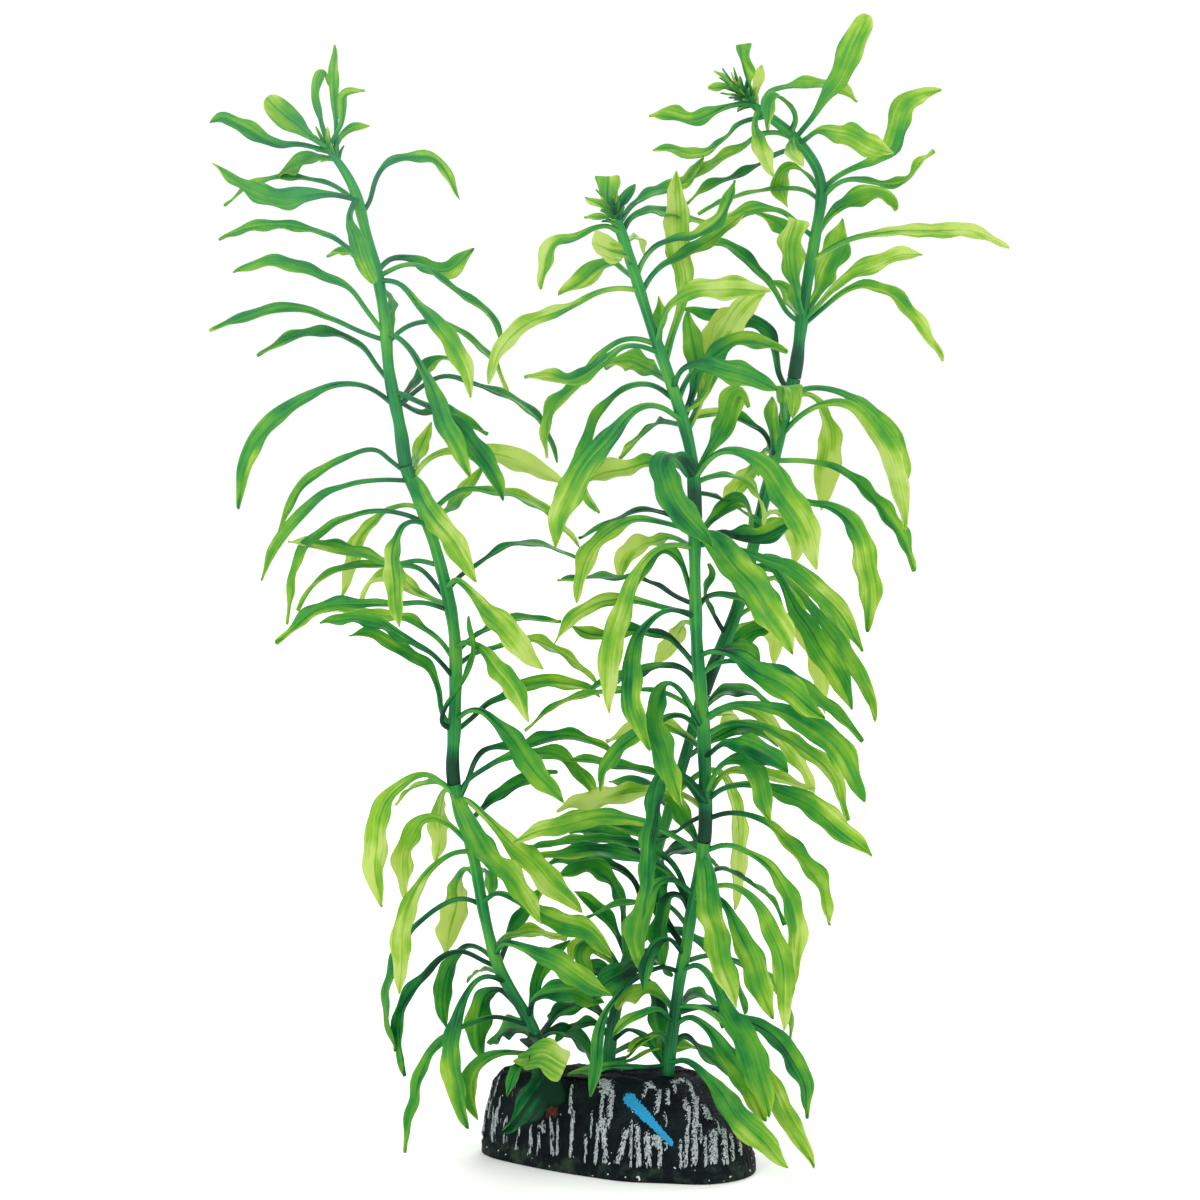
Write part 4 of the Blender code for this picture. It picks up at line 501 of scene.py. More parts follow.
        (130.5, [(28.8, 133.2), (34.5, 135.2), (41.5, 134.6), (49, 132.6), (56, 129), (62, 124.3),
         (67.5, 117), (71.5, 106.3)], 14, 10, 58, MID),
        (143.5, [(30, 147.4), (38, 147.2), (46.5, 145), (53, 141), (59, 136), (65, 131), (71.5, 124.2)], -6,
         8, 40, MID),
        (161.5, [(26, 166.2), (32, 166.9), (38.5, 164.3), (45, 160), (51.5, 155.6)], -11, 8, 45, MID),
        (184.3, [(27, 183.6), (31.5, 179), (36.5, 173), (41.5, 166.5), (46.3, 159.5), (51, 149.3)], 29, 11.5,
         55, LIGHT, "strap"),
        (180.5, [(29, 181.6), (36, 179.6), (43, 177), (50, 174.4), (57, 169.4), (63.5, 163), (71.6, 150.3)],
         -4, 9.5, 58, MID),
        (182.5, [(29.5, 184.6), (36, 183.8), (42, 184.4), (47.5, 186.8), (52.6, 188.4)], -14, 9, 50, DEEP),
        (120, [(30.5, 123.4), (36, 123.5), (41.3, 121.9), (46, 118.6), (49.4, 114.8)], 22, 9, 48, DEEP),
        (108.5, [(28.8, 115.5), (33.5, 119.4), (38.5, 117.6), (41.6, 111), (44.4, 100.5)], 14, 8, 50, MID),
        (107.5, [(30.5, 114.4), (36.5, 116.2), (42.5, 115), (49, 113.2), (57.6, 110.2)], -15, 7.5, 42, LIME),
        (107, [(31, 110.8), (38.5, 111.8), (46, 110.2), (53, 107.4), (60, 102.8), (67, 97), (74, 90.6)], 12,
         9.5, 50, MID),
        (126, [(33, 129.8), (42, 128.6), (51, 124.3), (58, 119.3), (63.5, 113), (66.8, 101)], -9, 8.5, 50,
         LIGHT),
        (101.5, [(32, 103.6), (39.5, 102.6), (46, 98.8), (51.5, 93.2), (56.5, 87.3), (60.2, 80.3),
         (61.9, 70.8)], 4, 8, 42, MID),
        (103.3, [(20.8, 100.8), (15.5, 97.2), (10, 96.5), (3.5, 99), (-4, 100.4)], -21, 6, 30, DEEP),
    ],
    "front_lower": [
        (91, [(20.5, 94.6), (14, 98), (6.5, 101.3), (-3, 102.2), (-12, 101.3), (-21, 98.8), (-30.2, 95)], -2,
         9, 48, LIGHT),
        (91.5, [(22.4, 97), (19.6, 102), (16.5, 107.3), (11, 110)], -20, 7, 35, MID),
        (92, [(31.5, 94.4), (38, 92.2), (44.3, 88), (49.2, 81.5), (51.6, 73), (52.2, 64), (51, 54)], 6, 8.5,
         52, LIGHT),
        (78.5, [(28, 82.2), (34, 82.3), (39.5, 78.6), (43.8, 72), (47.2, 63), (49, 52), (48.2, 40)], 18, 8,
         50, LIGHT),
        (85, [(30.5, 87.6), (37, 84.6), (43, 80.6), (46.8, 76.3), (48.6, 70.8)], -20, 6.5, 22, DEEP),
        (90.5, [(25.7, 87), (26.3, 80), (27.6, 72), (29.8, 63), (32.2, 54.5), (34.6, 46.8)], 34, 9.5, 0,
         LIGHT, "strap"),
        (79, [(28.3, 79.4), (32.8, 74.8), (36.2, 67.5), (39.2, 60), (42.2, 52.3), (45, 43.4)], 22, 9.5, 45,
         LIGHT),
        (57.5, [(23.3, 59.6), (27.4, 55.6), (31, 48.6), (35.3, 41), (39.2, 33), (42, 24.5), (43.9, 15)], 22,
         10.5, 50, MID),
        (42, [(21, 44.4), (26, 41.4), (31, 35.2), (35.8, 28.4), (39.8, 21.8), (43.4, 14)], 13, 10, 50, MID),
        (31, [(20, 31.8), (25.2, 28), (30.5, 21.6), (36, 14.8), (42, 8.4), (50, 0.8)], 30, 10, 45, MID),
        (47.5, [(24.5, 47.2), (31.5, 42.2), (37.8, 35), (43, 27), (47.8, 18.3), (52.4, 9.8), (57.4, 0.4)],
         18, 8, 45, LIGHT),
        (45.5, [(25, 47.4), (34, 45), (41.5, 41.4), (47.8, 37), (52.2, 30.3), (54.9, 22.6), (55.3, 14.8)], 0,
         9, 50, DEEP),
        (60, [(27, 62.3), (35, 60.3), (42.5, 56.9), (47.8, 51), (50.4, 43), (50.2, 35)], -17, 7.5, 42, MID),
        (45, [(20.5, 50), (25, 51), (28.6, 47.6), (31, 41)], -26, 8, 40, DEEP),
        (33.5, [(18.7, 38.6), (23, 36.4), (28, 31.8), (33, 27.3)], -8, 9, 45, DEEP),
        (57, [(13.4, 59), (7.3, 56.4), (1.5, 52), (-3, 46.3), (-5.3, 38.6), (-6.2, 30), (-7.4, 21)], 19, 5.4,
         30, DEEP, "stalked"),
        (42.5, [(12.8, 46.3), (7.4, 45.8), (2.3, 43), (-1.5, 38.6)], 14, 4, 35, DEEP),
        (46, [(13, 50.4), (8, 52), (3.5, 51), (0, 46.6)], -8, 10, 40, LIGHT),
        (73.5, [(19.6, 82), (16.3, 88.6), (10.5, 93), (2.5, 95), (-6.5, 95.7), (-15.5, 95.2), (-25.6, 93.3)],
         -16, 8, 26, DEEP),
        (74.5, [(17.5, 83.3), (11, 89), (2.5, 91.3), (-6.5, 92.7), (-15, 91.8), (-23.7, 90.8)], -8, 8.5, 36,
         DEEP),
        (71, [(15.5, 76.3), (8.5, 77.9), (1.3, 77.2), (-4, 75.7), (-8.9, 73.2)], -8, 6, 15, DEEP),
        (63.5, [(16.8, 68.5), (12.5, 75), (11.5, 82.5), (13.8, 89.5)], -9, 8.5, 30, DARK),
        (62, [(15.5, 66.8), (10.8, 65), (8.2, 58.5), (8, 51.5)], 14, 5, 40, DARK),
        (35.5, [(12.3, 39.3), (7, 38.4), (2.8, 34.2)], -8, 6, 30, MID),
        (30.5, [(8, 29.8), (1, 30.3), (-6, 29.6), (-14.5, 27.2)], 3, 5.5, 25, DEEP),
        (80, [(17, 84), (11.5, 83), (7.5, 76), (5.8, 67), (6.5, 58.5)], 4, 10, 55, MID),
        (74, [(19, 79), (15, 79.5), (12.8, 72), (12.5, 64), (13.5, 58.5)], 0, 9, 50, DEEP),
    ],
    "back_middle": [
        (224.5, [(47, 230.5), (46, 237), (44.5, 242), (40, 245.4), (33.5, 246.8), (26.5, 247.8),
         (19.4, 249.6)], -16, 8.5, 38, DEEP),
        (224.5, [(56, 226.8), (62.5, 226.2), (69, 223.2), (75, 218.8), (79.8, 212.6), (83, 204.5),
         (82.8, 194.5)], -8, 9.5, 52, LIGHT),
        (212, [(51.2, 217), (56, 220.6), (62, 222.5), (68.5, 221.3), (74.3, 215.5), (78.8, 207.5), (82, 198),
         (83.3, 185.3)], 6, 9, 52, LIGHT),
        (222.5, [(54.5, 225.3), (58.8, 222.8), (61.3, 217), (61.6, 208.5), (60.6, 200), (58.8, 191.3)], -18,
         10.5, -30, PALE),
        (205, [(54, 205.7), (61, 204.5), (68, 201.2), (74, 195.5), (79, 189), (83.6, 182.4), (86, 173.3)], 2,
         8.5, 40, MID),
        (196, [(50, 195.4), (56.8, 193.2), (63, 192.6), (68.3, 187.5), (71.4, 180), (73.2, 169.5),
         (72.9, 155.8)], 10, 9.5, 58, LIGHT),
        (217, [(48.4, 224.3), (49.6, 227.8), (51.2, 224.5), (51.2, 217.8)], 36, 8, 0, LIGHT),
        (205.5, [(45.2, 213.5), (45, 219.5), (45.2, 224.4)], 10, 6, 20, DEEP),
        (206, [(43.6, 209.6), (41.6, 207), (41, 201.5)], -28, 7, 30, LIGHT),
        (206, [(43, 213.3), (37.5, 217.2), (31.5, 219.5), (26, 219.2), (21.4, 217.8)], -6, 8, 30, MID),
        (203.5, [(42.6, 206.3), (38.6, 203), (34.8, 197.8), (30.4, 192.3)], -22, 8, -15, LIME),
        (175, [(44.8, 174.8), (49, 168.5), (52.3, 161.3), (57, 154.6), (61.5, 148), (65, 141),
         (68.6, 133.3)], 20, 9.5, 62, MID),
        (173.5, [(44.5, 174.4), (51.5, 169), (57.8, 161.3), (63.5, 153.5), (68.3, 146.7), (72, 139.4),
         (75.4, 130)], 0, 9, 42, LIGHT),
        (177, [(45.5, 178), (53, 172.5), (59, 165.3), (63.8, 158.3), (66.4, 151.5), (64.5, 144)], -13, 8.5,
         50, LIGHT),
        (160, [(40, 163.4), (47, 161.6), (53, 156.6), (57.3, 149.4), (59.3, 141), (60.1, 132)], -20, 8, -30,
         PALE),
        (153, [(36, 158), (41.5, 158.2), (45.6, 154), (45.8, 146.3)], -27, 7.5, -30, PALE),
        (166, [(41.5, 170.8), (48, 171.6), (53, 167.3), (54.2, 159.8)], -30, 7.5, -30, LIME),
        (187, [(45, 191), (49.8, 188.6), (51.8, 182.5), (51.4, 175.3)], -26, 8.5, -10, PALE),
        (148, [(33.5, 152.6), (39, 155.8), (45.2, 157.9)], -14, 8, 50, DEEP),
        (147.5, [(32, 151.3), (37, 151), (41.3, 147.3)], 20, 8.5, 40, DEEP),
        (155, [(28.5, 160.5), (25.8, 166.5), (27.3, 173), (26.5, 176)], 6, 7, 35, DEEP),
    ],
    "back_lower": [
        (131, [(28.5, 137.2), (34, 139.5), (39.5, 138.8), (44.6, 135)], -22, 7.5, 40, DEEP),
        (129, [(28.5, 132.5), (34, 133.2), (31.5, 128.6), (27.2, 124.2)], -30, 7, 40, LIME),
        (119, [(28.5, 125.3), (34, 128), (40.5, 127.7), (47, 123)], -16, 8, 40, DEEP),
        (127, [(31.5, 134), (38, 133.5), (44, 129.4), (49, 123.8), (53.5, 117.3), (57.6, 109)], -8, 9, 58,
         LIME),
        (109, [(25.5, 115.8), (31, 114.6), (34.2, 108), (35.4, 99), (35.4, 89), (34.3, 75.3)], -12, 9, 62,
         PALE),
        (60, [(2, 68.5), (1.4, 77), (-1.6, 84), (-7, 87.6), (-12.5, 87.2), (-17.4, 85)], 8, 8.5, 50, DEEP),
        (61, [(0.2, 68), (-3.4, 74), (-8, 78.4), (-12.6, 80.8)], -14, 6, 30, DEEP),
        (57, [(-3, 64.6), (-7.8, 65.3), (-9.6, 61.6), (-6.8, 57)], 12, 7.5, 45, MID),
        (52, [(-3.5, 57.4), (-9.5, 58), (-16, 54)], -18, 9, 45, DARK),
        (62, [(10, 68.5), (19, 69), (28, 63), (34.3, 55.5), (37.5, 45)], -20, 8.5, 45, DEEP),
        (33.5, [(5.5, 36.8), (14, 37), (24, 35)], -16, 7, 40, MID),
        (38, [(-6, 42.5), (-13, 41.6), (-18.5, 37)], -12, 7, 40, DARK),
        (42, [(-7.5, 48), (-14, 48.6), (-20, 44)], -22, 8, 40, DARK),
        (56, [(5.2, 61), (11.5, 61.3), (16, 56)], -14, 8, 45, DARK),
        (37, [(3.5, 40.8), (8.5, 38.2), (12.3, 32.8), (14, 29)], 9, 3.2, 35, DARK),
        (78, [(4.5, 84.5), (-2, 88.6), (-9, 90.6), (-15.5, 90.2), (-21.5, 88)], -16, 8, 40, DARK),
        (88, [(17, 93), (23.5, 93.3), (29.5, 88)], -24, 8, 40, DARK),
        (86, [(6, 92), (0.5, 96.5), (-7, 98.5), (-14, 97.6)], -24, 7.5, 40, DARK),
        (105, [(10, 110), (4, 112.6), (-2.5, 112.4)], -26, 7, 40, DARK),
        (57.5, [(6, 59), (2, 57.5), (-3, 54), (-6.5, 49.5)], 16, 12, 60, DARK),
        (54, [(6.5, 56.5), (10, 52.5), (12.2, 45), (13.2, 37), (13.5, 31)], -6, 9, 75, DARK),
        (58, [(-4, 62.5), (-9, 66.5), (-12.5, 65), (-13, 60)], -16, 7, 50, LIME),
        (31.5, [(3, 33), (7, 37), (11.5, 38.5)], 6, 3.5, 20, MID),
        (31.2, [(4, 32), (9, 34.5), (13, 35.2)], 8, 3.5, 20, MID),
    ],
    "back_top": [
        (245.5, [(49.3, 248.8), (46, 254.5), (41.7, 260.2), (36.7, 265.2), (31, 268.7), (24.3, 268.6)], -10,
         7.5, 24, MID),
        (246, [(50.8, 251), (49, 255.8), (44.4, 258)], -30, 6, 20, MID),
        (247, [(52, 254), (50.6, 261.5), (50.4, 269), (51.8, 276)], 14, 10.5, 20, LIME, "blunt"),
        (245.8, [(58, 250.4), (63, 255.6), (68.6, 260.2), (75, 263.2), (82, 265.4), (88.9, 265.6)], 9, 8.5,
         55, LIGHT),
        (244.5, [(59.5, 249.7), (66, 254.8), (73, 257), (80, 254.2), (86, 247.5), (91.4, 240.5),
         (94.4, 234.3)], -6, 7.5, 54, LIGHT),
        (247.5, [(57.6, 253.5), (60.8, 261), (63.6, 269), (65.9, 276)], -20, 12, 58, LIGHT),
        (262.5, [(53, 267), (49.8, 271.4), (45.8, 275), (40.3, 277.3)], -22, 7, 30, MID),
        (270, [(53, 274), (48.5, 277.6), (42, 279), (36, 277.8), (31, 274.4), (26.3, 270), (21.4, 265.8)], 5,
         8.5, 40, LIGHT),
        (269.5, [(60.3, 274.8), (64.7, 279.4), (70, 282.2), (75.5, 283), (79, 281.5), (81.1, 278.2)], -14, 9,
         50, LIGHT),
        (263.5, [(61, 266.6), (67, 269.7), (75, 271.6), (84, 272.4), (93, 272.6), (102, 272.4), (108, 270.6),
         (113.9, 267.4)], 6, 9.5, 38, LIME),
        (282.5, [(56.5, 287.4), (53, 290.7), (49.2, 290.4), (47.3, 286.4), (49.3, 279)], -16, 8, -30, LIME),
        (280.5, [(54.5, 284.2), (48, 284.8), (41, 284.2), (34, 282.4), (28.5, 280.2), (23.3, 277.2)], -26, 7,
         14, MID),
        (284, [(63.5, 287.8), (68.8, 290.6), (74.5, 292.6), (79, 295.8), (80.8, 301.5), (83, 307.5),
         (87.8, 312), (94.2, 313.4)], -6, 9.5, 62, LIGHT),
        (281.5, [(64, 286.2), (69, 287.4), (75, 286.4), (81, 285.8), (85, 288), (87.4, 292.4),
         (92.2, 295.6)], 12, 7.5, 24, MID),
        (294, [(50.5, 296), (45, 293.9), (39, 290.6), (33, 287.8), (27, 285.6), (22.6, 282.8),
         (19.3, 279.3)], -9, 7.5, 32, MID),
        (299.5, [(50.6, 297.3), (51.1, 294.4), (54, 291.2)], 20, 6.5, 0, LIME),
        (297.5, [(58.5, 301.4), (64, 300.7), (69.5, 298.9), (75, 296.8), (80.4, 294.7)], 24, 10, 60, LIGHT),
        (299, [(56.6, 305), (60, 310.2), (63.5, 315.8), (67, 322.2), (70, 329), (72.4, 335.3)], 5, 11, 74,
         LIGHT, "round"),
        (306.5, [(43.5, 312.2), (48.3, 314), (54, 314.9), (60, 315.4), (65, 313.8), (69.7, 309.5)], -2, 8,
         42, LIGHT),
        (300.5, [(51.8, 305), (49.6, 309.6), (46.3, 311.6), (43.8, 308.6), (43.7, 301.3)], 14, 6.5, 30,
         LIGHT),
        (298, [(47.3, 300.8), (41.5, 300.3), (36.5, 297.2), (31, 293.8), (25, 290.6), (19, 286.9),
         (13.8, 284.4)], -4, 8.5, 36, LIGHT),
        (305.5, [(36, 303.8), (31.5, 299.6), (26.8, 295.9), (21.5, 294.4), (16, 296.3), (10.2, 296)], -13, 8,
         38, LIGHT),
        (309.5, [(33, 308.6), (27, 306.5), (20.5, 305), (14.5, 306), (9.2, 305.8)], 10, 8.5, 48, LIGHT),
        (307.5, [(40, 303.6), (41, 298.8), (42.6, 294), (45.9, 288)], 20, 7, 10, LIME),
        (309, [(38.4, 315), (37.4, 320.5), (36.3, 326.6)], 3, 9.5, 10, MID, "fan"),
        (308, [(40.4, 314), (41.9, 320.6)], -9, 4.5, 20, PALE),
        (311.5, [(32, 314.2), (26.4, 313.8)], -5, 5, 40, LIGHT),
        (312, [(31.6, 316.5), (28.3, 319)], 8, 4.5, 30, LIGHT),
    ],
}


def seen(right, up, near):
    """The point at this depth that the front eye sees at this place of its picture."""
    sight = (AIM - EYE).normalized()
    picture_up = Vector((0.0, -sight.z, sight.y))
    place = AIM + Vector((right - AIM.x, 0.0, 0.0)) + picture_up * (up - AIM.z)
    return EYE + (place - EYE) * ((-near - EYE.y) / (place.y - EYE.y))


def pictured(points):
    """The (right, up) that the front eye sees each of these points at, all in millimetres."""
    sight = (AIM - EYE).normalized()
    picture_up = np.array((0.0, -sight.z, sight.y))
    rays = points - np.array(EYE)
    stretch = (AIM - EYE).length / (rays @ np.array(sight))
    places = np.array(EYE) + rays * stretch[:, None]
    return places[:, 0], AIM.z + (places - np.array(AIM)) @ picture_up


def between(before, start, end, after, part):
    """A point of the smooth curve from start to end, part running from 0 to 1. Arrays of them work too."""
    return 0.5 * (
        start * 2
        + (end - before) * part
        + (before * 2 - start * 5 + end * 4 - after) * part ** 2
        + (start * 3 - before - end * 3 + after) * part ** 3
    )


def smooth_point(points, place):
    """A point on the smooth curve through the points, place running from 0 to len(points) - 1."""
    last = len(points) - 1
    index = min(int(place), last - 1)
    start, end = points[index], points[index + 1]
    before = points[index - 1] if index > 0 else start * 2 - end
    after = points[index + 2] if index + 2 <= last else end * 2 - start
    return between(before, start, end, after, place - index)


def lengths_along(points):
    """How far along a run of points each of them lies."""
    run = [0.0]
    for start, end in zip(points, points[1:]):
        run.append(run[-1] + (end - start).length)
    return run


def even_points(points, steps, fineness=12):
    """Points at even steps of the length of the smooth curve through the points, and that length."""
    pieces = (len(points) - 1) * fineness
    fine = [smooth_point(points, piece / fineness) for piece in range(pieces + 1)]
    run = lengths_along(fine)
    found = []
    index = 0
    for step in range(steps + 1):
        goal = step / steps * run[-1]
        while index < pieces - 1 and run[index + 1] < goal:
            index += 1
        part = (goal - run[index]) / (run[index + 1] - run[index])
        found.append(fine[index].lerp(fine[index + 1], part))
    return found, run[-1]


def soft_step(low, high, values):
    """0 below low, 1 above high and a smooth rise between them, for an array or a number."""
    share = np.clip((values - low) / (high - low), 0.0, 1.0)
    return share * share * (3.0 - 2.0 * share)


def stem_place(stem, height):
    """The (right, up, near) of a stem's middle line at a height."""
    line = [Vector(point) for point in STEMS[stem]]
    for index in range(len(line) - 1):
        if height <= line[index + 1].y:
            part = (height - line[index].y) / (line[index + 1].y - line[index].y)
            return smooth_point(line, index + part)
    return line[-1]


def leaf_path(stem, height, rest, reach):
    """The run of a leaf from inside its stem to its tip, as a list of points in millimetres."""
    root = stem_place(stem, height)
    flat = [Vector((root.x, root.y, 0.0))] + [Vector((right, up, 0.0)) for right, up in rest]
    run = lengths_along(flat)
    points = []
    for place, along in zip(flat, run):
        near = root.z + reach * math.sin(math.pi / 2 * along / run[-1])
        points.append(seen(place.x, place.y, near))
    return points


def leaf_frames(points, roll):
    """The run's points, sideways directions and upward directions at even steps, and the run's length."""
    fine, length = even_points(points, FRAME_STEPS)
    out = points[-1] - points[0]
    out.z = 0.0
    if out.length < SHORT_REACH:
        out = Vector((0.0, -1.0, 0.0))
    side = out.normalized().cross(Vector((0.0, 0.0, 1.0)))
    sides = []
    headings = []
    for index in range(FRAME_STEPS + 1):
        heading = (fine[min(index + 1, FRAME_STEPS)] - fine[max(index - 1, 0)]).normalized()
        side = (side - heading * side.dot(heading)).normalized()
        sides.append(side)
        headings.append(heading)
    towards_front = -1.0 if sides[FRAME_STEPS // 2].y > 0.0 else 1.0
    across = []
    upward = []
    for index, (side, heading) in enumerate(zip(sides, headings)):
        turn = math.radians(roll) * min(1.0, index / FRAME_STEPS / ROLL_SHARE)
        top = side.cross(heading) * math.cos(turn) + side * towards_front * math.sin(turn)
        across.append(heading.cross(top).normalized())
        upward.append(top)
    return np.array(fine), np.array(across), np.array(upward), length


def edit_only(thing):
    """Edit mode on this one piece."""
    if bpy.context.object and bpy.context.object.mode != "OBJECT":
        bpy.ops.object.mode_set(mode="OBJECT")
    bpy.ops.object.select_all(action="DESELECT")
    thing.select_set(True)
    bpy.context.view_layer.objects.active = thing
    bpy.ops.object.mode_set(mode="EDIT")


def close_up():
    """In edit mode, turns every face outwards, and then leaves edit mode."""
    bpy.ops.mesh.select_all(action="SELECT")
    bpy.ops.mesh.normals_make_consistent(inside=False)
    bpy.ops.object.mode_set(mode="OBJECT")


def select_where(thing, wanted):
    """In edit mode, selects the vertices whose place passes the test, and what they bound."""
    bpy.ops.mesh.select_all(action="DESELECT")
    shape = bmesh.from_edit_mesh(thing.data)
    for vert in shape.verts:
        vert.select = wanted(vert.co)
    shape.select_flush(True)
    bmesh.update_edit_mesh(thing.data)


def set_values(thing, name, kind, values):
    """Stores a value for each vertex of a piece, for its material to read."""
    attribute = thing.data.attributes.get(name) or thing.data.attributes.new(name, kind, "POINT")
    field = "value" if kind == "FLOAT" else "vector"
    attribute.data.foreach_set(field, np.asarray(values, np.float32).ravel())


def get_values(thing, name):
    """The stored value of each vertex."""
    values = np.zeros(len(thing.data.vertices), np.float32)
    thing.data.attributes[name].data.foreach_get("value", values)
    return values


def places_of(thing):
    """The place of each vertex."""
    places = np.zeros(len(thing.data.vertices) * 3, np.float32)
    thing.data.vertices.foreach_get("co", places)
    return places.reshape(-1, 3).astype(float)


def set_places(thing, places):
    """Moves each vertex to its place."""
    thing.data.vertices.foreach_set("co", np.asarray(places, np.float32).ravel())
    thing.data.update()


def join_pieces(things):
    """Joins pieces into the first of them."""
    bpy.ops.object.select_all(action="DESELECT")
    for thing in things:
        thing.select_set(True)
    bpy.context.view_layer.objects.active = things[0]
    bpy.ops.object.join()
    return things[0]


def add_modifier(thing, kind, **settings):
    """Adds a modifier and applies it."""
    bpy.context.view_layer.objects.active = thing
    modifier = thing.modifiers.new(kind.title(), kind)
    for setting, value in settings.items():
        setattr(modifier, setting, value)
    bpy.ops.object.modifier_apply(modifier=modifier.name)


def make_blank(name, shares, columns):
    """A flat leaf to copy: 1 long along +Y, 1 in half-width and shaped to its outline by rows.

    Its height is in millimetres already: the midrib is pressed down and the stalk's edges are lifted.
    """
    rows = len(shares) - 1
    bpy.ops.object.select_all(action="DESELECT")
    bpy.ops.mesh.primitive_grid_add(x_subdivisions=columns, y_subdivisions=rows, size=2.0)
    blank = bpy.context.object
    blank.name = name
    places = places_of(blank)
    set_values(blank, "across", "FLOAT", places[:, 0])
    stalk = blank.vertex_groups.new(name="stalk")
    for index, (x, y, _) in enumerate(places):
        along = (y + 1.0) / 2.0
        weight = 1.0 - float(soft_step(*THINNING, along)) if columns > TUFT_COLUMNS else 0.0
        midrib = MIDRIB_SHARE * (1.0 - along) if abs(x) < 0.01 else 0.0
        stalk.add([index], max(weight, midrib), "REPLACE")
    edit_only(blank)
    bpy.ops.mesh.select_all(action="SELECT")
    bpy.ops.transform.translate(value=(0.0, 1.0, 0.0))
    bpy.ops.transform.resize(value=(1.0, 0.5, 1.0), center_override=(0.0, 0.0, 0.0))
    select_where(blank, lambda place: abs(place.x) < 0.01)
    bpy.ops.transform.translate(value=(0.0, 0.0, -MIDRIB_DEPTH))
    select_where(blank, lambda place: abs(place.x) > 0.9 and place.y < STALK_END)
    bpy.ops.transform.translate(value=(0.0, 0.0, STALK_EDGE_LIFT))
    for row, share in enumerate(shares):
        level = row / rows
        select_where(blank, lambda place: abs(place.y - level) < 0.4 / rows)
        bpy.ops.transform.resize(value=(share, 1.0, 1.0), center_override=(0.0, level, 0.0))
    bpy.ops.object.mode_set(mode="OBJECT")
    return blank


def lay_leaf(blank, points, width, roll, tone, draw, ruffle=1.0):
    """A copy of the blank laid along a run of points, cupped, with margins that wave in its own way."""
    leaf = blank.copy()
    leaf.data = blank.data.copy()
    bpy.context.scene.collection.objects.link(leaf)
    middle, side, top, length = leaf_frames(points, roll)
    places = places_of(leaf)
    across = get_values(leaf, "across")
    along = places[:, 1]
    step = np.round(along * FRAME_STEPS).astype(int)
    blade = soft_step(*BLADE_START, along)
    size = min(1.0, width / FULL_WIDTH)
    lift = places[:, 2] + blade * (draw.uniform(*CUPS) * size) * (np.abs(across) - 0.5)
    swelling = np.ones(len(along))
    for side_sign in (-1.0, 1.0):
        on_side = np.clip(across * side_sign, 0.0, 1.0)
        lifting = draw.uniform(*RUFFLES) * size * ruffle
        for amount, power, target in ((lifting, 1.5, lift), (SWELLING * ruffle, 0.5, swelling)):
            waves = length / draw.uniform(*RUFFLE_LENGTHS)
            wave = np.sin(2 * math.pi * (waves * along + draw.uniform(0.0, 1.0)))
            target += blade * amount * on_side ** power * wave
    swing = np.sin(2 * math.pi * (length / SWAY_LENGTH * along + draw.uniform(0.0, 1.0)))
    reach = places[:, 0] * width / 2 * swelling
    sideways = reach + SWAY * size * blade * swing
    set_places(leaf, (middle[step] + side[step] * sideways[:, None] + top[step] * lift[:, None]) * MM)
    seed = np.full(len(along), draw.uniform(0.0, 90.0))
    set_values(leaf, "blade", "FLOAT_VECTOR", np.column_stack((reach, along * length, seed)))
    tones = np.full(len(along), tone + draw.uniform(-TONE_SPREAD, TONE_SPREAD))
    set_values(leaf, "shade", "FLOAT_VECTOR", np.column_stack((tones, along, np.abs(across))))
    return leaf


def make_tuft(stem, blank):
    """The small crowded leaves at a stem's tip, fanned round its end."""
    draw = random.Random(f"{stem} tuft")
    count, longest, tone = TUFTS[stem]
    top = STEMS[stem][-1][1]
    before, tip = (seen(*stem_place(stem, height)) for height in (top - 5.0, top + 5.0))
    heading = (tip - before).normalized()
    side = heading.cross(Vector((0.0, 1.0, 0.0))).normalized()
    front = side.cross(heading)
    leaves = []
    for index in range(count):
        out = side * math.cos(TUFT_TURN * index) + front * math.sin(TUFT_TURN * index)
        spread = TUFT_SPREADS[0] + TUFT_SPREADS[1] * index / count
        half = longest * draw.uniform(0.6, 1.0) * 0.5
        points = [tip - heading * (0.5 + TUFT_DEPTH * index / count)]
        for lean in (spread, spread * 1.5):
            points.append(points[-1] + (heading * math.cos(lean) + out * math.sin(lean)) * half)
        width = draw.uniform(*TUFT_WIDTHS)
        leaves.append(lay_leaf(blank, points, width, 0.0, tone + draw.uniform(*TUFT_TONES), draw))
    return leaves


def stem_stations(stem, low, high):
    """Points at even stations of one spray's stem, in millimetres, and one more close to each end."""
    line = STEMS[stem]
    start = line[0][1] if low is None else low
    end = line[-1][1] if high is None else high
    count = round((end - start) / STEM_STATION)
    points = [seen(*stem_place(stem, start + (end - start) * step / count)) for step in range(count + 1)]
    run = (points[1] - points[0]).normalized()
    points[0] = points[0] - run * STEM_FOOT_LENGTH if low is None else points[0] + run * JOINT_GAP / 2
    if high is not None:
        points[-1] = points[-1] - (points[-1] - points[-2]).normalized() * JOINT_GAP / 2
    points.insert(1, points[0].lerp(points[1], END_LOOP))
    points.insert(-1, points[-1].lerp(points[-2], END_LOOP))
    return points


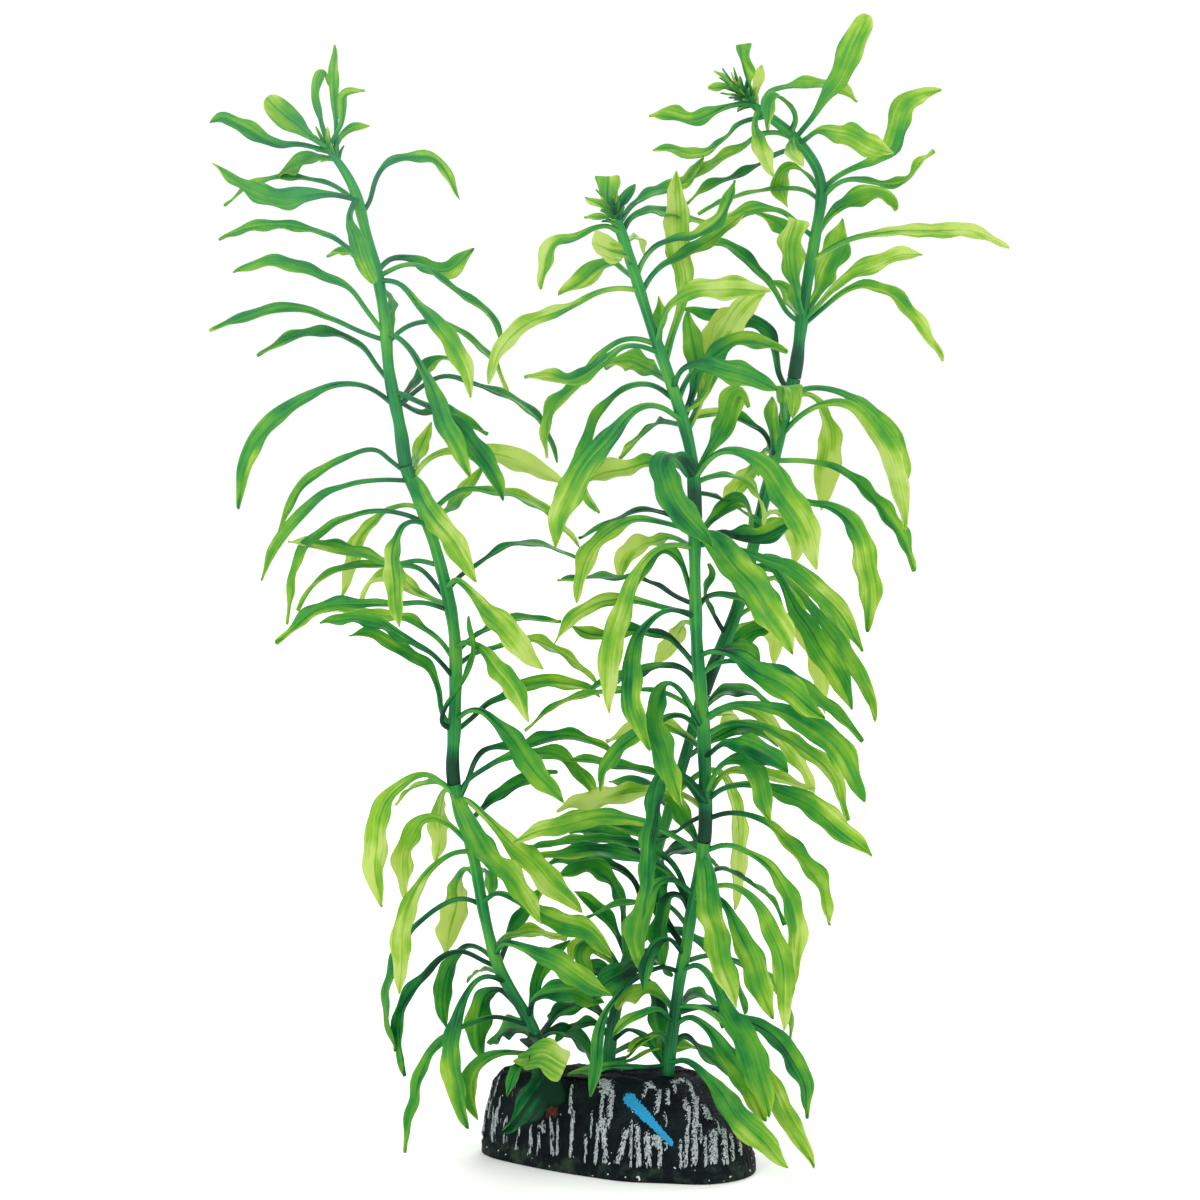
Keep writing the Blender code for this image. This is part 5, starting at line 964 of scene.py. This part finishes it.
def stem_radii(stem, part, bounds, points, run):
    """A stem's radius at each of its stations: its taper, whorls, sleeve, shoulder and tip."""
    low, high = bounds
    roots = [seen(*stem_place(stem, leaf[0])) for leaf in LEAVES[f"{stem}_{part}"]]
    wide, narrow = STEM_RADII[part]
    radii = []
    for point, along in zip(points, run):
        nearest = min((point - root).length for root in roots)
        radius = wide + (narrow - wide) * along / run[-1]
        radius += WHORL_SWELLING * math.exp(-(nearest / WHORL_REACH) ** 2)
        if low is not None and along < SLEEVE_LENGTH:
            radius = SLEEVE_RADIUS
        if high is not None and along > run[-1] - SHOULDER_LENGTH:
            radius = SHOULDER_RADIUS
        radii.append(radius)
    if high is None:
        radii[-4:] = [radii[-5] * TIP_SHARE] + TIP_RADII
    return radii


def stem_tube(radii):
    """A closed straight tube along +Y, a disc extruded by 1 to each further radius."""
    bpy.ops.object.select_all(action="DESELECT")
    bpy.ops.mesh.primitive_circle_add(
        vertices=STEM_SIDES, radius=radii[0], fill_type="NGON", rotation=(math.pi / 2, 0.0, 0.0),
    )
    tube = bpy.context.object
    bpy.ops.object.transform_apply()
    edit_only(tube)
    bpy.ops.mesh.select_all(action="SELECT")
    for station in range(1, len(radii)):
        share = radii[station] / radii[station - 1]
        bpy.ops.mesh.extrude_region_move(TRANSFORM_OT_translate={"value": (0.0, 1.0, 0.0)})
        bpy.ops.transform.resize(value=(share, 1.0, share), center_override=(0.0, station, 0.0))
    close_up()
    return tube


def make_stem(stem, part, bounds):
    """The bare stem of one spray: a straight tube laid on the stem's middle line."""
    points = stem_stations(stem, *bounds)
    run = lengths_along(points)
    tube = stem_tube(stem_radii(stem, part, bounds, points, run))
    places = places_of(tube)
    step = np.round(places[:, 1]).astype(int)
    middle = np.array(points)
    heading = np.gradient(middle, axis=0)
    heading /= np.linalg.norm(heading, axis=1)[:, None]
    side = np.cross(heading, np.array((0.0, 1.0, 0.0)))
    side /= np.linalg.norm(side, axis=1)[:, None]
    front = np.cross(side, heading)
    set_places(tube, (middle[step] + side[step] * places[:, :1] - front[step] * places[:, 2:]) * MM)
    along = np.array(run)[step]
    round_it = np.arctan2(places[:, 2], places[:, 0]) * 2.0
    seed = np.full(len(along), STEM_SEED)
    set_values(tube, "blade", "FLOAT_VECTOR", np.column_stack((round_it, along * 0.6, seed)))
    tones = np.full(len(along), STEM_TONES[stem])
    if part == "lower":
        tones -= FOOT_END_SHADE * (1.0 - soft_step(0.0, FOOT_END_LENGTH, along))
    else:
        sleeve = 1.0 - soft_step(*SLEEVE_FADE, along)
        tones += (SLEEVE_TONES.get(f"{stem}_{part}", SLEEVE_TONE) - STEM_TONES[stem]) * sleeve
    shade = np.column_stack((tones, np.full(len(along), STEM_ALONG), np.zeros(len(along))))
    set_values(tube, "shade", "FLOAT_VECTOR", shade)
    return tube


def make_spray(stem, part, bounds, blanks, material):
    """One moulded spray: its stem with every leaf, and at the stem's tip the tuft."""
    key = f"{stem}_{part}"
    leaves = []
    for index, (height, rest, reach, width, roll, tone, *kind) in enumerate(LEAVES[key]):
        draw = random.Random(f"{key} leaf {index + 1}")
        width *= WIDTH_SHARE * NARROW_SPRAYS.get(key, 1.0)
        kind = kind[0] if kind else "pointed"
        ruffle = ROUND_RUFFLE if kind == "round" else 1.0
        path = leaf_path(stem, height, rest, reach)
        leaves.append(lay_leaf(blanks[kind], path, width, roll, tone, draw, ruffle))
    if part == "top":
        leaves += make_tuft(stem, blanks["tuft"])
    foliage = join_pieces(leaves)
    add_modifier(
        foliage, "SOLIDIFY", thickness=STALK_THICKNESS * MM, offset=0.0, vertex_group="stalk",
        thickness_vertex_group=BLADE_THICKNESS / STALK_THICKNESS,
    )
    spray = join_pieces([foliage, make_stem(stem, part, bounds)])
    add_modifier(spray, "SUBSURF", levels=1, render_levels=1)
    bpy.ops.object.shade_smooth()
    spray.name = f"{key}_foliage"
    spray.data.name = spray.name
    spray.vertex_groups.clear()
    spray.data.attributes.remove(spray.data.attributes["across"])
    spray.data.materials.append(material)
    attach(spray, "root")
    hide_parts(f"{key}_spray")


def outline_points(outline, parts):
    """Points (x, y) of a closed round outline, each part running from 0 to 1 round it."""
    corners = np.array(outline)
    place = parts * len(corners)
    index = np.floor(place).astype(int)
    around = [corners[(index + step) % len(corners)] for step in (-1, 0, 1, 2)]
    return between(*around, (place - index)[:, None]) * np.array((1.0, -1.0))


def ridge_height(along, across, width, low, high):
    """How high a ridge stands, from 0 to 1, at a height along it and a distance across from its middle."""
    body = np.clip(1.0 - (2.0 * across / width) ** 2, 0.0, 1.0)
    return body * soft_step(low - 1.0, low + 1.0, along) * (1.0 - soft_step(high - 1.5, high + 1.0, along))


def front_ridges(right, up):
    """The ridges of the foot's front at these places of the front view."""
    height = np.zeros(len(right))
    for middle, width, low, high, lean in FRONT_RIDGES:
        across = right - middle - lean * ((up - low) / (high - low) - 0.5)
        height = np.maximum(height, ridge_height(up, across, width, low, high))
    return height


def back_ridges(part, level):
    """The ridges of the foot's sides and back, which no view shows: like the front's, spaced by a rule."""
    rim = outline_points(RIM_OUTLINE, np.linspace(0.0, 1.0, 200))
    girth = np.linalg.norm(np.diff(rim, axis=0), axis=1).sum()
    draw = random.Random("ridges of the back")
    height = np.zeros(len(part))
    count = round(girth / BACK_RIDGE_SPACING)
    for index in range(count):
        middle = (index + draw.uniform(-0.25, 0.25)) / count
        width = draw.choice(BACK_RIDGE_WIDTHS)
        low = draw.choice((draw.uniform(3.5, 7.0), draw.uniform(8.0, 15.0)))
        high = low + draw.uniform(5.0, 14.0)
        lean = draw.uniform(-1.5, 1.5)
        away = (part - middle + 0.5) % 1.0 - 0.5
        across = away * girth - lean * (level / FOOT_HEIGHT - 0.5)
        height = np.maximum(height, ridge_height(level, across, width, low, high))
    return height


def paint_marks(right, up, facing_front):
    """Where the blue stroke and the brown spots are: 1 inside them, falling to 0 past their edges."""
    start, end = (np.array(place) for place in BLUE_STROKE)
    run = end - start
    offset = np.column_stack((right, up)) - start
    along = np.clip(offset @ run / (run @ run), 0.0, 1.0)
    away = np.linalg.norm(offset - along[:, None] * run, axis=1)
    half = (BLUE_WIDTHS[0] + (BLUE_WIDTHS[1] - BLUE_WIDTHS[0]) * along) / 2
    blue = np.clip(1.0 - 0.5 * away / half, 0.0, 1.0) * facing_front
    brown = np.zeros(len(right))
    for spot_right, spot_up, size in BROWN_SPOTS:
        away = np.hypot(right - spot_right, up - spot_up) / size
        brown = np.maximum(brown, np.clip(1.0 - 0.5 * away, 0.0, 1.0) * facing_front)
    return blue, brown


def foot_disc():
    """The foot before it is shaped: a disc of radius 1 extruded up its wall, then inwards over its top."""
    bpy.ops.object.select_all(action="DESELECT")
    bpy.ops.mesh.primitive_circle_add(vertices=FOOT_SIDES, radius=1.0, fill_type="NGON")
    foot = bpy.context.object
    edit_only(foot)
    bpy.ops.mesh.select_all(action="SELECT")
    steps = round(FOOT_HEIGHT / FOOT_STEP)
    for _ in range(steps):
        bpy.ops.mesh.extrude_region_move(TRANSFORM_OT_translate={"value": (0.0, 0.0, FOOT_HEIGHT / steps)})
    for ring in range(FOOT_TOP_RINGS):
        share = (FOOT_TOP_RINGS - ring - 0.7) / (FOOT_TOP_RINGS - ring + 0.3)
        bpy.ops.mesh.extrude_region_move(TRANSFORM_OT_translate={"value": (0.0, 0.0, 0.0)})
        bpy.ops.transform.resize(value=(share, share, 1.0), center_override=(0.0, 0.0, FOOT_HEIGHT))
    bpy.ops.mesh.merge(type="CENTER")
    close_up()
    return foot


def foot_noise(part, level, flat):
    """The foot's upright grain and its lumps, both from -1 to 1."""
    turn = 2 * math.pi * part
    circle = np.column_stack((np.cos(turn), np.sin(turn))) * GRAIN_TURNS
    grain = np.array([noise.noise(Vector((x, y, z * GRAIN_RISE))) for (x, y), z in zip(circle, level)])
    spots = np.column_stack((flat, level)) * LUMP_SCALE
    lumps = np.array([noise.noise(Vector(spot)) for spot in spots])
    return grain, lumps


def make_foot(material):
    """The stump-like foot: the disc laid on its outlines, ridged, grained, lumpy and rounded at its edges."""
    foot = foot_disc()
    places = places_of(foot)
    part = (np.arctan2(places[:, 1], places[:, 0]) / (2 * math.pi) + 0.5) % 1.0
    spread = np.hypot(places[:, 0], places[:, 1])
    level = places[:, 2]
    rim = outline_points(RIM_OUTLINE, part)
    top = outline_points(TOP_OUTLINE, part)
    rise = np.clip((level - FOOT_RIM) / (FOOT_HEIGHT - FOOT_RIM), 0.0, 1.0)[:, None] ** FOOT_FLARE
    wall = rim + (top - rim) * rise
    flat = FOOT_MIDDLE + (wall - FOOT_MIDDLE) * spread[:, None]
    right, up = pictured(np.column_stack((flat, level)))
    facing_front = soft_step(*FRONT_SIDE, -wall[:, 1])
    on_wall = soft_step(0.93, 0.99, spread)
    on_wall *= soft_step(FOOT_RIM - 1.0, FOOT_RIM + 1.5, level + FRONT_RIDGE_DROP * facing_front)
    ridge = front_ridges(right, up) * facing_front + back_ridges(part, level) * (1.0 - facing_front)
    ridge *= on_wall
    grain, lumps = foot_noise(part, level, flat)
    outward = wall - FOOT_MIDDLE
    outward /= np.linalg.norm(outward, axis=1)[:, None]
    top_edge = soft_step(FOOT_HEIGHT - TOP_EDGE, FOOT_HEIGHT, level) * soft_step(0.9, 1.0, spread)
    swell = (RIDGE_HEIGHT * (ridge - RIDGE_BED) + GRAIN_HEIGHT * grain) * on_wall
    swell += LUMP_HEIGHT * lumps * soft_step(0.5, 3.0, level)
    swell -= EDGE_ROUNDING * top_edge ** 2 + RIM_STEP * soft_step(FOOT_RIM - 0.6, FOOT_RIM + 0.3, level)
    flat = flat + outward * (swell * soft_step(0.7, 1.0, spread))[:, None]
    on_top = soft_step(FOOT_HEIGHT - 0.1, FOOT_HEIGHT, level)
    height = level + on_top * (TOP_LUMPS * lumps + TOP_GRAIN * grain - TOP_DROP * top_edge)
    set_places(foot, np.column_stack((flat, np.maximum(height, 0.0))) * MM)
    blue, brown = paint_marks(right, up, facing_front)
    set_values(foot, "paint", "FLOAT_VECTOR", np.column_stack((ridge, blue, brown)))
    bpy.ops.object.shade_smooth()
    foot.name = "stump_foot"
    foot.data.materials.append(material)
    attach(foot, "root")
    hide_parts("base")


def colour(code):
    """The linear colour of an sRGB hex code."""
    parts = [int(code[index:index + 2], 16) / 255 for index in (1, 3, 5)]
    linear = [part / 12.92 if part <= 0.04045 else ((part + 0.055) / 1.055) ** 2.4 for part in parts]
    return (*linear, 1.0)


def new_material(name):
    """A material with only its output left."""
    material = bpy.data.materials.new(name)
    material.use_nodes = True
    for node in list(material.node_tree.nodes):
        if node.type != "OUTPUT_MATERIAL":
            material.node_tree.nodes.remove(node)
    return material


def add(material, kind, settings=None, **links):
    """Adds a shader node. Settings are its own properties, and links are its inputs, by name or as _number.

    An input is given a value, or a node, whose first output it takes, or a pair of a node and an output.
    """
    tree = material.node_tree
    node = tree.nodes.new("ShaderNode" + kind)
    for setting, value in (settings or {}).items():
        setattr(node, setting, value)
    for name, source in links.items():
        socket = node.inputs[int(name[1:])] if name.startswith("_") else node.inputs[name.replace("_", " ")]
        if isinstance(source, bpy.types.Node):
            tree.links.new(source.outputs[0], socket)
        elif isinstance(source, tuple) and isinstance(source[0], bpy.types.Node):
            tree.links.new(source[0].outputs[source[1]], socket)
        else:
            socket.default_value = source
    return node


def set_ramp(node, stops):
    """Sets a colour ramp's stops, each a place and a colour's code, and returns the ramp's node."""
    ramp = node.color_ramp
    while len(ramp.elements) > 1:
        ramp.elements.remove(ramp.elements[-1])
    ramp.elements[0].position = stops[0][0]
    ramp.elements[0].color = colour(stops[0][1])
    for place, code in stops[1:]:
        ramp.elements.new(place).color = colour(code)
    return node


def show(material, shader):
    """Links the shader to the material's output, and returns the material."""
    output = material.node_tree.nodes["Material Output"]
    material.node_tree.links.new(shader.outputs[0], output.inputs["Surface"])
    return material


def leaf_plastic():
    """Soft moulded vinyl, coloured in the mass: satin, a little see-through, darkest at stalks and stems.

    It gives the eye a wet green that glows yellow-green where light comes through a blade, with fine veins
    along each leaf about 0.9 mm apart, and a painted sheen that makes leaves paler and bluer high up and to
    the left of the plant, where the light falls most.
    """
    material = new_material("soft_moulded_vinyl")
    blade = add(material, "Attribute", {"attribute_name": "blade"})
    shade = add(material, "Attribute", {"attribute_name": "shade"})
    leaf = add(material, "SeparateXYZ", _0=(blade, "Vector"))
    tone = add(material, "SeparateXYZ", _0=(shade, "Vector"))
    along = (tone, 1)

    # Veins of 0.75 by 26 mm, and patches of 5 by 8 mm.
    textures = []
    for wide, tall, detail in ((0.75, 26.0, 1.0), (5.0, 8.0, 2.0)):
        sizes = (1 / wide, 1 / tall, 1.0)
        spot = add(material, "VectorMath", {"operation": "MULTIPLY"}, _0=(blade, "Vector"), _1=sizes)
        textures.append(add(material, "TexNoise", Vector=spot, Scale=1.0, Detail=detail, Roughness=0.5))
    veins, patches = textures

    # A blade's two halves differ, in stretches of 16 mm: painted light on one half and painted shade on
    # the other, as on a blade folded at its midrib. Its rib is darker, a painted shade in the fold's crease,
    # and its margin paler.
    half = add(material, "MapRange", Value=leaf, From_Min=-0.4, From_Max=0.4, To_Min=-0.9, To_Max=0.9)
    stretch = add(material, "Math", {"operation": "DIVIDE"}, _0=(leaf, 1), _1=16.0)
    half_shade_place = add(material, "CombineXYZ", _0=half, _1=stretch, _2=(leaf, 2))
    half_light_and_shade = add(material, "TexNoise", Vector=half_shade_place, Scale=1.0, Detail=0.0)
    from_rib = add(material, "Math", {"operation": "ABSOLUTE"}, _0=leaf)
    crease_shade = add(material, "MapRange", Value=from_rib, From_Min=0.1, From_Max=0.6, To_Min=-0.08, To_Max=0.0)
    edge = add(material, "Math", {"operation": "POWER"}, _0=(tone, 2), _1=6.0)
    edge_tone = add(material, "MapRange", Value=along, From_Min=0.3, From_Max=0.9, To_Min=-0.06, To_Max=0.1)
    total = tone
    for source, share, shift in (
        (veins, 0.56, -0.28), (patches, 0.6, -0.3), (half_light_and_shade, 0.7, -0.35), (crease_shade, 1.0, 0.0),
        (along, 0.44, -0.21), (edge, edge_tone, 0.0),
    ):
        part = add(material, "Math", {"operation": "MULTIPLY_ADD"}, _0=source, _1=share, _2=shift)
        total = add(material, "Math", {"operation": "ADD"}, _0=total, _1=part)

    # From the darkest to the palest: what lies in the light, and what light comes through.
    lit = set_ramp(add(material, "ValToRGB", Fac=total), [
        (0.0, "#0b422b"), (0.1, "#0d6138"), (0.26, "#1d8640"), (0.45, "#46a040"), (0.62, "#6daf3b"),
        (0.78, "#9bc446"), (0.95, "#c3d880"),
    ])
    through = set_ramp(add(material, "ValToRGB", Fac=total), [
        (0.0, "#0a4422"), (0.12, "#138238"), (0.32, "#45a338"), (0.55, "#88c23c"), (0.75, "#b7d648"),
        (0.95, "#dae690"),
    ])

    # A painted sheen: pale bluish light painted over what lies high up and to the left, where the light
    # falls most, thinner on pale leaves and on stalks.
    place = add(material, "TexCoord")
    spot = add(material, "SeparateXYZ", _0=(place, "Object"))
    left = add(material, "MapRange", Value=spot, From_Min=-0.06, From_Max=0.03, To_Min=0.66, To_Max=0.26)
    high = add(material, "MapRange", Value=(spot, 2), From_Min=0.14, From_Max=0.34, To_Min=0.0, To_Max=left)
    green = add(material, "MapRange", Value=total, From_Min=0.1, From_Max=0.85, To_Min=1.0, To_Max=0.3)
    on_blade = add(material, "MapRange", Value=along, From_Min=0.1, From_Max=0.4, To_Min=0.55, To_Max=1.0)
    painted_sheen = high
    for share in (green, on_blade):
        painted_sheen = add(material, "Math", {"operation": "MULTIPLY"}, _0=painted_sheen, _1=share)
    sheened = add(material, "Mix", {"data_type": "RGBA"}, _0=painted_sheen, _6=lit, _7=colour("#6fbb95"))

    bump = add(material, "Bump", Strength=0.2, Distance=0.15 * MM, Height=veins)
    rough = add(material, "MapRange", Value=patches, From_Min=0.3, From_Max=0.7, To_Min=0.38, To_Max=0.5)
    surface = add(
        material, "BsdfPrincipled", Base_Color=(sheened, 2), Roughness=rough, IOR=1.53,
        Specular_IOR_Level=0.22, Normal=bump,
    )
    glow = add(material, "BsdfTranslucent", Color=through, Normal=bump)
    thin = add(material, "MapRange", Value=along, From_Min=0.08, From_Max=0.5, To_Min=0.2, To_Max=0.5)
    return show(material, add(material, "MixShader", _0=thin, _1=surface, _2=glow))


def painted_stone():
    """Cast resin stone, painted near black and dry-brushed: a rough dark body with pale broken streaks.

    The pale paint sits on the ridges and breaks up into specks about 0.6 mm wide, as coarse as the view
    shows. One blue stroke and two brown spots are daubed on it, and the rim is flecked with white.
    """
    material = new_material("dry_brushed_cast_stone")
    paint = add(material, "Attribute", {"attribute_name": "paint"})
    masks = add(material, "SeparateXYZ", _0=(paint, "Vector"))
    place = add(material, "TexCoord")
    spot = add(material, "SeparateXYZ", _0=(place, "Object"))

    # Streaks of 0.55 by 4.5 mm, specks of 0.45 mm, clouds of 6 mm and flecks of 1 mm.
    textures = []
    for wide, tall, detail, roughness in (
        (0.55, 4.5, 1.0, 0.5), (0.45, 0.45, 1.0, 0.6), (6.0, 6.0, 3.0, 0.6), (1.0, 1.0, 0.0, 0.5),
    ):
        sizes = (1000 / wide, 1000 / wide, 1000 / tall)
        scaled = add(material, "Mapping", Vector=(place, "Object"), Scale=sizes)
        textures.append(
            add(material, "TexNoise", Vector=scaled, Scale=1.0, Detail=detail, Roughness=roughness)
        )
    streaks, specks, clouds, flecks = textures

    # Moss lies by the rim.
    low_down = add(
        material, "MapRange", Value=(spot, 2), From_Min=FOOT_RIM * MM, From_Max=(FOOT_RIM + 1.5) * MM,
        To_Min=0.85, To_Max=0.12,
    )
    mossy = add(material, "MapRange", Value=clouds, From_Min=0.5, From_Max=0.66)
    moss = add(material, "Math", {"operation": "MULTIPLY"}, _0=low_down, _1=mossy)

    # The pale paint is caught where ridges stand up and streaks and specks let it.
    broken = (masks, 0)
    for texture, share in ((streaks, 2.3), (specks, 0.16)):
        broken = add(material, "Math", {"operation": "MULTIPLY_ADD"}, _0=texture, _1=share, _2=broken)
    brushable = add(material, "MapRange", Value=masks, From_Min=0.02, From_Max=0.16)
    smooth = {"interpolation_type": "SMOOTHSTEP"}
    caught = add(material, "MapRange", smooth, Value=broken, From_Min=1.84, From_Max=1.96)
    caught = add(material, "Math", {"operation": "MULTIPLY"}, _0=caught, _1=brushable)

    # The daubs and the flecks have broken edges too.
    edges = []
    for source, share, mask, low, high, most in (
        (streaks, 1.2, (masks, 2), 1.1, 1.4, 0.85), (streaks, 0.6, (masks, 1), 0.72, 0.8, 1.0),
        (low_down, 0.07, flecks, 0.86, 0.88, 1.0),
    ):
        inside = add(material, "Math", {"operation": "MULTIPLY_ADD"}, _0=source, _1=share, _2=mask)
        edges.append(add(material, "MapRange", Value=inside, From_Min=low, From_Max=high, To_Max=most))
    brown, blue, fleck = edges

    # The coats, from the body outwards.
    body = set_ramp(add(material, "ValToRGB", Fac=clouds), [
        (0.3, "#070c10"), (0.5, "#0c1418"), (0.7, "#131d1f"),
    ])
    pale = set_ramp(add(material, "ValToRGB", Fac=specks), [
        (0.35, "#747d80"), (0.52, "#9ba4a6"), (0.7, "#c4cbca"),
    ])
    coat = (body, 0)
    for amount, tint in (
        (moss, colour("#2b3d2c")), (caught, pale), (brown, colour("#5f3428")), (blue, colour("#2a90c0")),
        (fleck, colour("#c9cfca")),
    ):
        coat = (add(material, "Mix", {"data_type": "RGBA"}, _0=amount, _6=coat, _7=tint), 2)

    relief = add(material, "Math", {"operation": "MULTIPLY_ADD"}, _0=streaks, _1=2.0, _2=specks)
    bump = add(material, "Bump", Strength=0.8, Distance=0.35 * MM, Height=relief)
    rough = add(material, "MapRange", Value=caught, To_Min=0.48, To_Max=0.8)
    return show(material, add(
        material, "BsdfPrincipled", Base_Color=coat, Roughness=rough, IOR=1.5, Specular_IOR_Level=0.06,
        Normal=bump,
    ))


def make_stage():
    """A plain pale floor, a white surround and soft studio lights round the plant."""
    bpy.ops.object.select_all(action="DESELECT")
    bpy.ops.mesh.primitive_plane_add(size=12.0, location=(0.0, 0.0, -0.2 * MM))
    floor = bpy.context.object
    floor.name = "floor"
    pale = bpy.data.materials.new("pale_floor")
    pale.use_nodes = True
    shader = pale.node_tree.nodes["Principled BSDF"]
    shader.inputs["Base Color"].default_value = colour("#fbfbfa")
    shader.inputs["Roughness"].default_value = 0.9
    floor.data.materials.append(pale)
    world = bpy.data.worlds.new("white surround")
    world.use_nodes = True
    background = world.node_tree.nodes["Background"]
    background.inputs["Color"].default_value = (1.0, 1.0, 1.0, 1.0)
    background.inputs["Strength"].default_value = 1.06
    bpy.context.scene.world = world
    for name, place, power, size in (
        ("key light", (-0.9, -1.2, 1.3), 10.0, 0.7),
        ("fill light", (1.3, -0.9, 0.7), 4.0, 0.9),
        ("back light", (0.4, 1.3, 1.1), 12.0, 0.9),
    ):
        data = bpy.data.lights.new(name, "AREA")
        data.energy = power
        data.size = size
        light = bpy.data.objects.new(name, data)
        bpy.context.scene.collection.objects.link(light)
        light.location = place
        aim = Vector((0.0, 0.0, 0.17)) - Vector(place)
        light.rotation_euler = aim.to_track_quat("-Z", "Y").to_euler()
    bpy.context.scene.view_settings.view_transform = "Standard"


def make_camera():
    """The camera at the front eye."""
    data = bpy.data.cameras.new("front camera")
    data.sensor_width = SENSOR_WIDTH
    data.lens = SENSOR_WIDTH * (AIM - EYE).length / PICTURE_WIDTH
    camera = bpy.data.objects.new("front camera", data)
    bpy.context.scene.collection.objects.link(camera)
    camera.location = EYE * MM
    camera.rotation_euler = (AIM - EYE).to_track_quat("-Z", "Y").to_euler()
    bpy.context.scene.camera = camera


make_camera()
make_stage()
vinyl = leaf_plastic()
stone = painted_stone()
blanks = {
    kind: make_blank(f"{kind} leaf blank", shares, LEAF_COLUMNS) for kind, shares in LEAF_KINDS.items()
}
blanks["tuft"] = make_blank("tuft leaf blank", TUFT_SHARES, TUFT_COLUMNS)
for stem, sprays in SPRAYS.items():
    for part, bounds in sprays.items():
        make_spray(stem, part, bounds, blanks, vinyl)
for blank in blanks.values():
    bpy.data.objects.remove(blank)
make_foot(stone)
